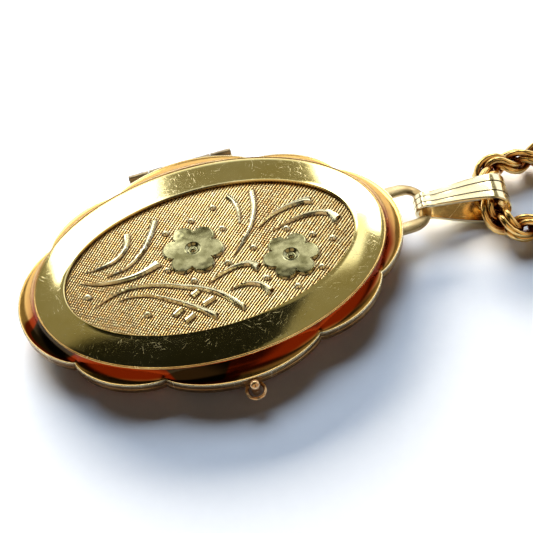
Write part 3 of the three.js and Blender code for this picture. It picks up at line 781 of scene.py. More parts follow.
def cover_groups(parting, facing, band_rings, centre, inside):
    """Finishes and their rings, from the lip across the outside and back through the inside."""
    lip, rim_z, _ = cover_heights(parting, facing)
    edge = scallop(HOLLOW_INSET, lip - HOLLOW_DROP * facing)
    rim = oval(RIM_A, RIM_B, rim_z - RIM_DROP * facing)
    inner_edge = scallop(SHEET, lip - SHEET * facing)
    inner_rim = oval(RIM_A - SHEET, RIM_B - SHEET, rim_z - SHEET * facing)
    soft = LIP_ROUND * facing
    foot = [scallop(FOOT_INSET, parting), scallop(LIP_ROUND, parting), scallop(0, parting + soft)]
    wall = [scallop(0, lip - soft), scallop(0.015, lip - HOLLOW_DROP * facing)]
    wall.append(scallop(LIP_ROUND, lip))
    back_down = [*reversed(cove(inner_edge, inner_rim)), inner_edge]
    back_down.append(scallop(SHEET, parting + soft))
    return [
        (SHADED_EDGE_GOLD, foot),
        (LIP_GOLD, wall),
        (COVE_GOLD, [edge, *cove(edge, rim)]),
        (SHADED_GOLD, rim_ridge(rim_z, facing)),
        (BAND_GOLD, band_rings),
        *centre,
        (INSIDE_GOLD, [*inside, inner_rim, *back_down]),
    ]


def cover_piece(name, node, body, groups, notch_radius):
    """A cover from groups of rings, each group with its own finish, cut round the hinge."""
    materials = [LIP_GOLD, COVE_GOLD, BAND_GOLD, INSIDE_GOLD, SHADED_EDGE_GOLD, SHADED_GOLD]
    rings, picks, hollow = [], [], []
    # Painted shade in the hollow: deeper toward the rim, and strongest on the catch side.
    near_side_shade = 0.22 + 0.78 * np.clip(0.2 - 1.4 * np.sin(ANGLES) - 0.1 * np.cos(ANGLES), 0, 1)
    # Painted dark reflections, in patches round the hollow.
    dark_reflection = sum(
        np.clip(1.6 - np.abs(ANGLES - centre) / reach, 0, 1) for centre, reach in PAINTED_DARK_PATCHES
    )
    for material, group in groups:
        for k, ring in enumerate(group):
            deep = k / (len(group) - 1) if material is COVE_GOLD else 0.0
            rings.append(ring)
            picks.extend([materials.index(material)] * len(ANGLES))
            hollow.extend(deep * near_side_shade + 2 * min(4 * deep, 1) * dark_reflection)
    piece = make_piece(
        name, skin(rings, wrap=True), materials, body, (node,), picks,
    )
    add_layer(piece.data, "hollow", hollow)
    low, high = node_box("hinge_pin")
    centre = (low + high) / 2
    length = high[0] - low[0] + 2 * NOTCH_SPARE
    notch = lathe([(notch_radius, 0), (notch_radius, length)], 28)
    notch = onto_axis(notch, (centre[0] - length / 2, centre[1], centre[2]), (1, 0, 0))
    cut_away(piece, skin(notch, capped=True))


def front_cover():
    """The upper shell, open in its middle for the panel."""
    parting = FRONT_LOW[2]
    _, rim_z, band_z = cover_heights(parting, 1)
    inner = [
        oval(PANEL_A + outset, PANEL_B + outset, band_z - drop)
        for outset, drop in ((0.09, 0), (0.04, 0.03), (0, 0.09), (0, 0.17))
    ]
    inner.append(oval(PANEL_A, PANEL_B, PANEL_LOW[2]))
    groups = cover_groups(
        parting, 1,
        band_rings=band(rim_z - 0.005, 0.14, band_z - 0.01, BAND_CROWN),
        # The lower wall down to the panel takes painted shade.
        centre=[(BAND_GOLD, inner[:3]), (SHADED_EDGE_GOLD, inner[3:])],
        inside=[oval(PANEL_A + SHEET, PANEL_B + SHEET, z) for z in (PANEL_LOW[2], band_z - SHEET)],
    )
    cover_piece("front_cover_shell", "front_cover", "locket_front", groups, FRONT_NOTCH)


def back_cover():
    """The lower shell, whose middle swells down to the table."""
    parting = BACK_HIGH[2]
    _, rim_z, band_z = cover_heights(parting, -1)
    flat_a, flat_b = PANEL_A - DOME_END_WIDTH, PANEL_B - DOME_SIDE_WIDTH
    dome = []
    for k in range(1, DOME_STEPS + 1):
        along = k / DOME_STEPS
        grow = 1 - along
        z = band_z * (1 - math.sin(math.pi / 2 * along)) ** 1.2
        dome.append(oval(flat_a + (PANEL_A - flat_a) * grow, flat_b + (PANEL_B - flat_b) * grow, z))
    dome += [oval(flat_a * s, flat_b * s, 0.0) for s in (0.66, 0.33, 0.02)]
    inside = [oval(flat_a * s, flat_b * s, SHEET) for s in (0.02, 0.5, 1.0)]
    inside.append(oval(PANEL_A, PANEL_B, band_z + SHEET))
    groups = cover_groups(
        parting, -1,
        band_rings=band(rim_z + 0.005, 0.0, band_z, -BAND_CROWN),
        centre=[(BAND_GOLD, dome)],
        inside=inside,
    )
    cover_piece("back_cover_shell", "back_cover", "locket_back", groups, BACK_NOTCH)


front_cover()
back_cover()

# ---------------------------------------------------------------- the engraved panel

PITCH = 0.235  # from one engraved line to the next
LINE_FAN = math.radians(0.5)  # the lines turn by this for every mm across them
LINE_DEPTH = 0.04
WALL = 0.1  # width of the steep side of a raised shape
BEAD, BEAD_RISE = 0.3, 0.85
TOWARD_LIGHT = np.array([-0.5, 0.87])  # toward the light; painted shadow lies on the side of the motif away from this
SHADOW_REACH = (0.08, 0.16, 0.24, 0.32)
LEAF_LEAN = 0.06  # the leaves slope down a little toward the same direction
FLOWERS = [(-1.3, 1.15, 2.72, -15.0), (6.5, -2.45, 2.5, -3.0)]
BEADS = [
    (1.5, 5.2), (-0.7, 4.4), (-3.2, 3.8), (1.7, 2.6), (1.2, -1.2), (-3.9, -0.2), (-2, -2.05),
    (-11, -0.6), (-6.5, -4.1), (3.7, -0.4), (3.9, -3.9), (7, 0.6), (8.9, -0.8), (10.4, -1.8),
    (8.6, -4.4), (6.1, -5.6),
]
# Each leaf: the width of its broad end, whether a groove runs along it, and its line.
LEAVES = [
    (0.58, True, [(-6.5, 4.9), (-6.8, 3.7), (-7.9, 2.5), (-9.5, 2.05), (-10.8, 2.05)]),
    (0.62, True, [(-3.8, 5.6), (-4.6, 4), (-5.65, 2.5), (-7.2, 1.3), (-9.1, 0.9)]),
    (0.8, False, [(-4.5, 0.8), (-5.7, 0.35), (-7.2, 0.1), (-9.5, 0.3), (-11.4, 1)]),
    (0.5, True, [(3.1, 6), (3.45, 5.3), (3.55, 4.2), (3.3, 2.6)]),
    (0.6, True, [(5.3, 5.85), (5, 4.1), (4.1, 2), (2.9, 0.45), (1.7, -0.8)]),
    (0.85, False, [(9.95, 2.9), (9.3, 3.05), (7.75, 2.9), (6.05, 2.4), (4.6, 1.45)]),
    (1.05, False, [(11.5, 0), (10.9, 1), (9.7, 1.4), (7.85, 1.3), (5.7, 0.75)]),
    (0.95, False, [(3.5, -2.6), (3, -2), (1.85, -1.85), (0.4, -2.2), (-0.9, -2.8)]),
    (0.85, False, [(3.8, -5.4), (3.3, -4.5), (2.4, -4), (1.4, -3.95), (0.6, -4.1)]),
    (0.62, False, [(1.3, -6.2), (0, -4.35), (-1.4, -3.2), (-3, -2.4), (-4.9, -1.5), (-7.1, -1),
                   (-8.9, -1.2), (-10.6, -1.9)]),
    (0.62, False, [(-1.1, -6.2), (-2, -5.3), (-3.2, -4.2), (-4.7, -3.1), (-5.9, -2.3),
                   (-7.3, -1.9), (-8.5, -1.9)]),
]
STEM_HALF_WIDTH = 0.24
SIDE_STEMS = [
    [(-1.9, -3.2), (-2.6, -3.6)], [(-3.6, -4.5), (-4.5, -5)],
    [(-0.8, -4.35), (-1.9, -4.75)], [(-2.8, -5.4), (-3.7, -5.9)],
]


FIELD = 60  # width in millimetres of the field of random values


def smooth_noise(x, y, size, seed):
    """Soft random values from 0 to 1 that change over about size millimetres."""
    random = np.random.default_rng(seed)
    cells = int(FIELD / size) + 4
    table = random.random((cells, cells))
    u, v = (x + FIELD / 2) / size, (y + FIELD / 2) / size
    i, j = np.floor(u).astype(int), np.floor(v).astype(int)
    u, v = u - i, v - j
    u, v = u * u * (3 - 2 * u), v * v * (3 - 2 * v)
    low = table[i, j] * (1 - u) + table[i + 1, j] * u
    high = table[i, j + 1] * (1 - u) + table[i + 1, j + 1] * u
    return low * (1 - v) + high * v


def leaf_height(x, y, line, half_width, grooved, slant):
    """Height from 0 to 1 of a leaf at each point."""
    flat = smooth_line([(a, b, 0) for a, b in line], 14)[:, :2]
    share = lengths_along(flat) / lengths_along(flat)[-1]
    tangent = unit(np.gradient(flat, axis=0))
    away = (x[:, None] - flat[:, 0]) ** 2 + (y[:, None] - flat[:, 1]) ** 2
    nearest = away.argmin(axis=1)
    dx, dy = x - flat[nearest, 0], y - flat[nearest, 1]
    forward = dx * tangent[nearest, 0] + dy * tangent[nearest, 1]
    side = dy * tangent[nearest, 0] - dx * tangent[nearest, 1]
    width = half_width(share[nearest])
    to_edge = width - np.abs(side)
    first, last = nearest == 0, nearest == len(flat) - 1
    to_edge = np.where(first, np.minimum(to_edge, forward + slant * side), to_edge)
    to_edge = np.where(last, np.minimum(to_edge, -forward), to_edge)
    part = np.clip(1 - np.abs(side) / np.maximum(width, 1e-6), 0, 1)
    lean = dx * TOWARD_LIGHT[0] + dy * TOWARD_LIGHT[1]
    crest = 0.9 + 0.08 * part - LEAF_LEAN / RELIEF * lean
    if grooved:
        crest = crest - 0.3 * np.clip(part * 1.6 - 0.45, 0, 1)
    return np.clip(to_edge / WALL, 0, 1) * crest


BLADE = 0.27  # half the width of a leaf's slim part


def leaf_half_width(end_width):
    """Broad end, slim blade, then a point."""
    def at(share):
        blade = BLADE * (1 - 0.86 * share ** 1.6)
        return blade + (end_width / 2 - BLADE) * np.exp(-share / 0.11)
    return at


FLOWER_DISH, FLOWER_BEAD = 0.42, 0.27  # radii of the dish's floor and the bead in it


def flower_height(x, y, radius, turn):
    """A six-petalled flower, slightly domed, with a dish in its middle and a bead in the dish."""
    r = np.hypot(x, y)
    angle = np.arctan2(y, x) - math.radians(turn)
    reach = radius * (0.68 + 0.32 * np.abs(np.cos(3 * angle)) ** 0.55)
    to_edge = reach - r
    rise = np.clip(to_edge / WALL, 0, 1)
    dish = np.clip((r - FLOWER_DISH) / 0.26, 0, 1)
    height = rise * (1 - 0.04 * r ** 2) * (0.3 + 0.7 * dish)
    bead = 0.3 + 0.6 * np.sqrt(np.clip(1 - (r / FLOWER_BEAD) ** 2, 0, 1))
    return np.maximum(height, np.where(r < FLOWER_BEAD, bead, 0))


def motif(x, y):
    """How high the raised work stands at each point, from 0 to 1."""
    raised = np.zeros_like(x)

    def lay(height, where):
        raised[where] = np.maximum(raised[where], height)

    for cx, cy, radius, turn in FLOWERS:
        where = np.hypot(x - cx, y - cy) < radius + 0.5
        lay(flower_height(x[where] - cx, y[where] - cy, radius, turn), where)
    shapes = [(leaf_half_width(w), grooved, line, 0.5) for w, grooved, line in LEAVES]
    shapes += [(lambda share: STEM_HALF_WIDTH + 0 * share, False, line, 0.0) for line in SIDE_STEMS]
    for half_width, grooved, line, slant in shapes:
        reach = np.array(line)
        where = (x > reach[:, 0].min() - 1) & (x < reach[:, 0].max() + 1)
        where &= (y > reach[:, 1].min() - 1) & (y < reach[:, 1].max() + 1)
        lay(leaf_height(x[where], y[where], line, half_width, grooved, slant), where)
    for cx, cy in BEADS:
        r = np.hypot(x - cx, y - cy)
        where = r < BEAD
        lay(BEAD_RISE * (1 - (r[where] / BEAD) ** 4), where)
    return raised


def panel_layers(x, y, line):
    """Height above the ground in mm, and the values that the finish is made from."""
    groove = (1 - np.abs((line % 1.0) - 0.5) * 2) ** 2
    along = x * math.cos(CROSS_ANGLE) + y * math.sin(CROSS_ANGLE)
    across = x * math.sin(CROSS_ANGLE) - y * math.cos(CROSS_ANGLE)
    cross_line = (across + 0.04 * np.sin(along)) / PITCH
    raised = motif(x, y)
    on = np.clip(raised / 0.3, 0, 1)
    # Painted shadow: the ground beside the motif darkens on the side away from the light.
    painted_shadow = np.zeros_like(x)
    for reach in SHADOW_REACH:
        beside = motif(x + reach * TOWARD_LIGHT[0], y + reach * TOWARD_LIGHT[1])
        painted_shadow = np.maximum(painted_shadow, np.clip(beside / 0.4, 0, 1) * (1 - reach / 0.5))
    petal = np.zeros_like(x)
    for cx, cy, radius, _ in FLOWERS:
        petal = np.maximum(petal, np.hypot(x - cx, y - cy) < radius + 0.15)
    height = raised * RELIEF - (1 - on) * LINE_DEPTH * groove
    height += 0.006 * (smooth_noise(x, y, 0.35, 9) - 0.5)
    layers = {
        "raised": on, "line": line, "cross_line": cross_line, "painted_shadow": painted_shadow * (1 - on),
        "petal": petal * on,
    }
    return height, layers


ROWS_PER_LINE = 4
GRID_SPARE = 1.5  # how far the rows run on past the panel's edge
STEP_ALONG = 0.062  # from one point of a row to the next
WAVER = 0.06  # how far the engraved lines stray sideways
WELD = 0.012  # points closer than this become one


def panel_grid():
    """Points of an oval in rows along the engraved lines, their line values and their faces."""
    a, b = PANEL_HIGH[0], PANEL_HIGH[1]
    reach = math.hypot(a, b) / math.sqrt(2) + GRID_SPARE
    across = np.arange(-reach, reach, PITCH / ROWS_PER_LINE)
    along = np.arange(-reach, reach, STEP_ALONG)
    s, t = np.meshgrid(across, along, indexing="ij")
    line = s / PITCH
    s = s + WAVER * (smooth_noise(s, t, 2.2, 3) - 0.5)
    heading = LINE_ANGLE - LINE_FAN * s
    x = s * math.sin(LINE_ANGLE) + t * np.cos(heading)
    y = -s * math.cos(LINE_ANGLE) + t * np.sin(heading)
    size = np.hypot(x / a, y / b)
    inside = size <= 1.0
    near = inside[:-1, :-1] | inside[1:, :-1] | inside[:-1, 1:] | inside[1:, 1:]
    used = np.zeros_like(inside)
    for di in (0, 1):
        for dj in (0, 1):
            used[di:used.shape[0] - 1 + di, dj:used.shape[1] - 1 + dj] |= near
    shrink = np.where(size > 1, 1 / size, 1.0)
    number = np.full(used.shape, -1)
    number[used] = np.arange(used.sum())
    i, j = np.nonzero(near)
    faces = np.stack([number[i, j], number[i + 1, j], number[i + 1, j + 1], number[i, j + 1]], 1)
    return (x * shrink)[used], (y * shrink)[used], line[used], faces


def front_panel():
    """One fine surface whose rows follow the engraved lines, closed with a wall and a base."""
    x, y, line, faces = panel_grid()
    height, layers = panel_layers(x, y, line)
    points = np.column_stack([x, y, PANEL_TOP + height])
    mesh = bpy.data.meshes.new("engraved_panel")
    mesh.from_pydata((points * MM).tolist(), [], faces.tolist())
    for name, values in layers.items():
        add_layer(mesh, name, values)
    edit = bmesh.new()
    edit.from_mesh(mesh)
    bmesh.ops.remove_doubles(edit, verts=edit.verts, dist=WELD * MM)
    rim = [edge for edge in edit.edges if edge.is_boundary]
    wall = bmesh.ops.extrude_edge_only(edit, edges=rim)["geom"]
    for vert in wall:
        if isinstance(vert, bmesh.types.BMVert):
            vert.co.z = PANEL_LOW[2] * MM
    low_edges = [e for e in wall if isinstance(e, bmesh.types.BMEdge) and e.is_boundary]
    bmesh.ops.contextual_create(edit, geom=low_edges)
    bmesh.ops.recalc_face_normals(edit, faces=edit.faces)
    edit.to_mesh(mesh)
    edit.free()
    mesh.materials.append(PANEL_GOLD)
    add_piece("engraved_panel", mesh, "locket_front", ("front_panel",), 50)


front_panel()

# ---------------------------------------------------------------- what holds the pictures

OVAL_SIDES = 128


def oval_section(name, node, body, material, profile, capped=False):
    """A piece whose section is given as (distance in from the node's outline, height share)."""
    low, high = node_box(node)
    a, b = (high[0] - low[0]) / 2, (high[1] - low[1]) / 2
    rings = [
        oval(a - inset, b - inset, low[2] + (high[2] - low[2]) * share, OVAL_SIDES)
        for inset, share in profile
    ]
    make_piece(name, skin(rings, wrap=not capped, capped=capped), material, body, (node,))


def picture_holder(side, body):
    """The wall, bezel, clear sheet and card in one cover, which all face its inside."""
    def faced(share):
        return share if side == "back" else 1 - share

    wall = [(0, 0.02), (0, 0.9), (0.06, 1), (0.34, 1), (0.4, 0.9), (0.4, 0.02)]
    oval_section(
        f"{side}_picture_wall", f"{side}_picture_rim", body, INSIDE_GOLD,
        [(inset, faced(share)) for inset, share in wall],
    )
    bezel = [
        (0, 0), (0, 0.75), (0.06, 0.95), (0.16, 1), (0.3, 0.97), (0.38, 0.85), (0.5, 0.8),
        (0.75, 0.78), (0.95, 0.72), (1.03, 0.8), (1.13, 0.82), (1.23, 0.7), (1.3, 0.4), (1.3, 0),
    ]
    oval_section(
        f"{side}_picture_bezel", f"{side}_picture_frame", body, BRIGHT_GOLD,
        [(inset, faced(share)) for inset, share in bezel],
    )
    sheet = [(13.0, 0), (6, 0), (0.05, 0), (0, 0.3), (0, 0.7), (0.05, 1), (6, 1), (13.0, 1)]
    low, high = node_box(f"{side}_window")
    narrow = (high[1] - low[1]) / 2 - 0.02
    for kind, material, slot in (
        ("window", CLEAR, "clear_window"), ("picture_card", CARD, "picture_card"),
    ):
        oval_section(
            f"{side}_{kind}_sheet", f"{side}_{kind}", body, material,
            [(min(inset, narrow), share) for inset, share in sheet], capped=True,
        )


picture_holder("front", "locket_front")
picture_holder("back", "locket_back")

# ---------------------------------------------------------------- hinge and catch


def knuckle(node, body):
    """A hinge tube with chamfered ends, hollow for the pin."""
    low, high = node_box(node)
    length = high[0] - low[0]
    radius = (high[2] - low[2]) / 2
    bore, chamfer = 0.21, 0.05
    half = [
        (bore, 0.02), (bore + 0.02, 0), (radius - chamfer, 0), (radius - 0.015, chamfer * 0.35),
        (radius, chamfer),
    ]
    profile = [*half, *[(r, length - x) for r, x in reversed(half)]]
    centre = (low + high) / 2
    rings = onto_axis(lathe(profile, 36), (low[0], centre[1], centre[2]), (1, 0, 0))
    make_piece(
        f"{node}_tube", skin(rings, wrap=True), DULL_GOLD, body, (node,),
    )


for node in frame["nodes"]:
    if "knuckle" in node:
        knuckle(node, "locket_back" if node.startswith("back") else "locket_front")


def hinge_pin():
    low, high = node_box("hinge_pin")
    centre = (low + high) / 2
    radius = (high[2] - low[2]) / 2
    line = np.linspace((low[0] + radius, centre[1], centre[2]),
                       (high[0] - radius, centre[1], centre[2]), 12)
    wire = rounded_tube(line, radius, 20)
    make_piece("hinge_wire", wire, STEEL, "locket_back", ("hinge_pin",))


hinge_pin()


def catch_post():
    """A ball on a waisted shaft, with a turned shoulder under the ball."""
    low, high = node_box("catch_post")
    centre = (low + high) / 2
    ball = (high[0] - low[0]) / 2
    shaft = ball * 0.72
    ball_z = high[2] - ball
    profile = [(0.01, low[2]), (shaft * 0.6, low[2]), (shaft * 0.9, low[2] + 0.06)]
    profile += [(shaft, low[2] + 0.16), (shaft, ball_z - ball * 0.98)]
    profile += [(shaft * 0.93, ball_z - ball * 0.86), (shaft * 0.95, ball_z - ball * 0.76)]
    for polar in np.linspace(math.pi - 0.8, 0.02, 16):
        profile.append((ball * math.sin(polar), ball_z + ball * math.cos(polar)))
    rings = [ring + (centre[0], centre[1], 0) for ring in lathe(profile, 36)]
    make_piece("catch_ball_post", skin(rings, capped=True), CATCH_GOLD, "locket_front",
               ("catch_post",))


CATCH_RING_ENDS = 138, 402  # degrees, with the opening toward the covers


def catch_ring():
    """The open wire ring that the post snaps into."""
    low, high = node_box("catch_ring")
    wire = (high[2] - low[2]) / 2
    radius = (high[0] - low[0]) / 2 - wire
    centre = np.array([(low[0] + high[0]) / 2, low[1] + radius + wire, (low[2] + high[2]) / 2])
    ring = rounded_tube(arc_line(centre, radius, *CATCH_RING_ENDS, 36), wire, 14)
    make_piece("catch_wire_ring", ring, CATCH_GOLD, "locket_back",
               ("catch_ring",))


catch_post()
catch_ring()

# ---------------------------------------------------------------- loop and bail


LOOP_POINTS = 60


def tongue_line(end, half_width, corner, start):
    """The outline of a round-cornered strip end, from its lower leg round to its upper one."""
    corners = [(start, -half_width, 0)]
    for first, y in ((-90, corner - half_width), (0, half_width - corner)):
        corners.extend(arc_line((end - corner, y, 0), corner, first, first + 90, 14))
    corners.append((start, half_width, 0))
    return spread(np.array(corners), LOOP_POINTS)


def edge_x(y):
    """How far out the locket's end lobe reaches at y."""
    ring = scallop(-0.01, 0.0)
    right = ring[ring[:, 0] > 0.8 * CUSP_A]
    order = np.argsort(right[:, 1])
    return float(np.interp(y, right[order, 1], right[order, 0]))


LOOP_STRIP = 0.9  # width of the metal at the loop's far end
LOOP_CORNER = 2.4
HOLE_HALF, HOLE_CORNER = 1.55, 0.85
LOOP_SOFT = 0.14  # how far its edges are rounded


def loop():
    """The flat stamped ring at the end of the locket, with softened edges."""
    low, high = node_box("loop")
    half, thick, soft = high[1], high[2] - low[2], LOOP_SOFT
    outer = tongue_line(high[0], half, LOOP_CORNER, edge_x(half))
    inner = tongue_line(high[0] - LOOP_STRIP, HOLE_HALF, HOLE_CORNER, edge_x(HOLE_HALF))
    section = [
        (0.0, soft), (0.04, 0.04), (soft, 0.0), (1 - soft, 0.0), (0.96, 0.04), (1.0, soft),
        (1.0, thick - soft), (0.96, thick - 0.05), (1 - soft, thick - 0.01), (0.5, thick),
        (soft, thick - 0.01), (0.04, thick - 0.05), (0.0, thick - soft),
    ]
    rings = [
        [(*(out + (into - out) * share)[:2], low[2] + height) for share, height in section]
        for out, into in zip(outer, inner)
    ]
    make_piece("stamped_loop", skin(rings, capped=True), BRUSHED_GOLD, "locket_back",
               ("loop",), sharp=24)


BAIL_TURN = math.radians(-12)
BAIL_ORIGIN = np.array([19.55, -0.35, PARTING])
BAIL_LENGTH, BAIL_WALL, BAIL_EYE, BAIL_BULB = 7.4, 0.3, 0.7, 1.45
BAIL_NARROW, BAIL_WIDE = 1.7, 3.3
# Across the bail, as shares of its half width:
GROOVE_START, GROOVE_AT, GROOVE_END, ROUND_FROM = 0.33, 0.38, 0.43, 0.91
GROOVE_DEPTH, RIDGE_RISE, EDGE_DROP = 0.13, 0.006, 0.1


def bail_line():
    """The folded strip's middle line, and the outward direction at each of its points."""
    eye, bulb = BAIL_EYE + BAIL_WALL / 2, BAIL_BULB + BAIL_WALL / 2
    bulb_x = BAIL_LENGTH - BAIL_WALL / 2 - bulb
    upper = [(-eye, 0)]
    upper += [(eye * math.cos(t), eye * math.sin(t)) for t in np.radians(range(160, 99, -20))]
    upper += [(0.55, 0.86), (1.5, 1.02), (2.7, 1.27), (3.9, 1.47), (4.9, 1.57), (bulb_x, bulb)]
    upper += [
        (bulb_x + bulb * math.cos(t), bulb * math.sin(t)) for t in np.radians(range(75, 0, -15))
    ]
    upper += [(bulb_x + bulb, 0)]
    lower = [(x, -z) for x, z in upper[-2:0:-1]]
    line = smooth_line([(x, 0, z) for x, z in [*upper, *lower, upper[0]]], 4)[:-1]
    ahead = np.gradient(np.vstack([line[-1], line, line[0]]), axis=0)[1:-1]
    return line, unit(np.column_stack([-ahead[:, 2], ahead[:, 1], ahead[:, 0]]))


def bail_height(share):
    """How far the strip's outer face stands from its middle line, at a share of its half width."""
    ridge = math.cos(share / GROOVE_AT * math.pi / 2)
    if share > GROOVE_AT:
        ridge = math.sin((share - GROOVE_AT) / (1 - GROOVE_AT) * math.pi)
    groove = GROOVE_DEPTH if share == GROOVE_AT else 0.0
    rounding = EDGE_DROP * max(0, (share - ROUND_FROM) / (1 - ROUND_FROM)) ** 2
    return BAIL_WALL / 2 + RIDGE_RISE * ridge - groove - rounding


def bail():
    """A tapered strip with two long grooves, folded round the loop and the chain."""
    right = [
        0.13, 0.28, 0.32, GROOVE_START, GROOVE_AT, GROOVE_END, 0.44, 0.52, 0.66, 0.84,
        ROUND_FROM, 0.955, 0.985, 1,
    ]
    shares = [*[-share for share in reversed(right)], 0, *right]
    rings = []
    for p, n in zip(*bail_line()):
        reach = (p[0] - BAIL_EYE) / (BAIL_LENGTH - BAIL_EYE)
        half = (BAIL_NARROW + (BAIL_WIDE - BAIL_NARROW) * min(max(reach, 0), 1)) / 2
        top = [p + n * bail_height(abs(share)) + (0, share * half, 0) for share in shares]
        under = [
            p - n * BAIL_WALL / 2 + (0, share * half, 0) for share in (0.97, 0.5, 0, -0.5, -0.97)
        ]
        rings.append([*top, *under])
    points, faces = skin(rings, wrap=True)
    picks = []
    for low, high in zip(shares, shares[1:]):
        inner, outer = sorted((abs(low), abs(high)))
        picks.append(int(GROOVE_START <= inner and outer <= GROOVE_END))
    picks += [0, 2, 2, 2, 2, 0]  # the two edges, and the shaded under face between them
    turn = np.array([
        [math.cos(BAIL_TURN), -math.sin(BAIL_TURN), 0],
        [math.sin(BAIL_TURN), math.cos(BAIL_TURN), 0],
        [0, 0, 1],
    ])
    make_piece(
        "folded_bail", (points @ turn.T + BAIL_ORIGIN, faces),
        [BAIL_GOLD, GROOVE_GOLD, SHADED_GOLD], "necklace", ("bail",),
        picks * len(rings), sharp=32,
    )


loop()
bail()

# ---------------------------------------------------------------- end caps, links and clasp


RING_SIDES, WIRE_SIDES = 48, 14


def ring_shape(centre, radius, wire, axis):
    """Points and faces of a wire ring round an axis."""
    small = circle(WIRE_SIDES)
    rings = []
    for t in circle(RING_SIDES):
        arm = np.array([math.cos(t), math.sin(t), 0])
        section = np.cos(small)[:, None] * arm + np.sin(small)[:, None] * (0, 0, 1)
        rings.append(radius * arm + wire * section)
    return skin(onto_axis(rings, centre, axis, (1, 0, 0)), wrap=True)


def both(first, second):
    """Two shapes as one list of points and faces."""
    points = np.vstack([first[0], second[0]])
    shift = len(first[0])
    return points, [*first[1], *[tuple(v + shift for v in face) for face in second[1]]]


def bright_piece(name, shape, stands_for=(), body="necklace"):
    return make_piece(name, shape, BRIGHT_GOLD, body, stands_for)


EYE_RADIUS, EYE_WIRE = 0.8, 0.2
CAP_LENGTH, CAP_RADIUS = 3.0, 1.35
LINK_RING, LINK_RING_WIRE = 1.35, 0.22


def end_cap(node, direction):
    """A turned cup with two beads round it, and an eye."""
    low, high = node_box(node)
    centre = (low + high) / 2
    mouth = low[0] if direction > 0 else high[0]
    section = [
        (0.9, 0.02), (1, 0.1), (1, 0.22), (0.9, 0.32), (0.9, 0.42), (0.97, 0.52), (0.9, 0.62),
        (0.9, 1.75), (0.97, 1.85), (0.9, 1.95), (0.84, 2.3), (0.66, 2.65), (0.42, 2.88),
    ]
    profile = [(CAP_RADIUS * share, height) for share, height in section]
    profile = [(0.02, 0.02), *profile, (0.02, CAP_LENGTH)]
    rings = onto_axis(lathe(profile, 40), (mouth, centre[1], centre[2]), (direction, 0, 0))
    eye_x = mouth + direction * (CAP_LENGTH + EYE_RADIUS - EYE_WIRE)
    eye = ring_shape((eye_x, centre[1], centre[2]), EYE_RADIUS, EYE_WIRE, (0, 0, 1))
    return bright_piece(f"{node}_cup", both(skin(rings, capped=True), eye), (node,))


def jump_ring(node):
    ring = ring_shape(middle(node), LINK_RING, LINK_RING_WIRE, (0, 1, 0))
    return bright_piece(f"{node}_ring", ring, (node,))


CLASP_RADIUS, CLASP_TUBE, CLASP_BORE, CLASP_BOLT = 2.5, 0.65, 0.44, 0.36
CLASP_EYE_OUT = 0.75
# Angles round the clasp in degrees, from its eye:
TUBE_END, SLOT_ENDS, BOLT_ENDS, LEVER_AT, LEVER_HALF = 152, (42, 110), (98, 207), 104, 3.5
SLOT_RADIUS, FOOT_RADIUS, LEVER_RADIUS = 0.3, 0.16, 0.2


def joint_place(name):
    """Where the record puts a joint's axis, in millimetres."""
    joints = frame["record"]["behaviour"]["joints"]
    place = next(joint["pos_m"] for joint in joints if joint["name"] == name)
    return np.array(place) / MM


def clasp():
    """A bolt ring: a hollow tube, its sprung bolt with a thumb lever, and an eye."""
    centre = joint_place("bolt_draw")
    wall = CLASP_RADIUS + CLASP_TUBE  # from the centre to the outside of the tube
    outside = tube_rings(arc_line(centre, CLASP_RADIUS, -TUBE_END, TUBE_END, 84), CLASP_TUBE, 24)
    inside = tube_rings(arc_line(centre, CLASP_RADIUS, TUBE_END, -TUBE_END, 84), CLASP_BORE, 24)
    inside = [np.roll(ring[::-1], 1, axis=0) for ring in inside]
    body = bright_piece("clasp_tube", skin([*outside, *inside], wrap=True), ("clasp_body",))
    slot = tube_rings(arc_line(centre, wall - 0.05, *SLOT_ENDS, 24), SLOT_RADIUS, 16)
    cut_away(body, skin(slot, capped=True))
    eye_centre = centre + (wall + CLASP_EYE_OUT, 0, 0)
    eye = bright_piece("clasp_eye", ring_shape(eye_centre, EYE_RADIUS, EYE_WIRE, (0, 0, 1)))
    bolt = rounded_tube(arc_line(centre, CLASP_RADIUS, *BOLT_ENDS, 40), CLASP_BOLT, 20)
    turn = math.radians(LEVER_AT)
    foot_line = [
        centre + radius * np.array([math.cos(turn), math.sin(turn), 0])
        for radius in (CLASP_RADIUS + 0.1, CLASP_RADIUS + 0.5, wall + 0.05)
    ]
    lever_line = arc_line(centre, wall + 0.12, LEVER_AT - LEVER_HALF, LEVER_AT + LEVER_HALF, 6)
    shape = both(bolt, rounded_tube(foot_line, FOOT_RADIUS, 12))
    shape = both(shape, rounded_tube(lever_line, LEVER_RADIUS, 14))
    sprung = bright_piece("clasp_sprung_bolt", shape, ("clasp_bolt",), "clasp_bolt")
    return body, eye, sprung


first_cap = end_cap("first_end_cap", 1)
second_cap = end_cap("second_end_cap", -1)
first_ring = jump_ring("catch_link")
second_ring = jump_ring("clasp_link")
clasp_body, clasp_eye, clasp_bolt = clasp()
spring = frame["nodes"]["clasp_spring"]
spring.data.materials.clear()
spring.data.materials.append(STEEL)

# ---------------------------------------------------------------- table and light

TABLE_SIZE = 3.0  # metres
TABLE_SINK = 0.02  # how far the table lies under the lowest pieces


def make_table():
    half, z = TABLE_SIZE / 2, -TABLE_SINK * MM
    mesh = bpy.data.meshes.new("table_top")
    mesh.from_pydata([(-half, -half, z), (half, -half, z), (half, half, z), (-half, half, z)],
                     [], [(0, 1, 2, 3)])
    mesh.materials.append(table_paper())
    add_object("table_top", mesh)


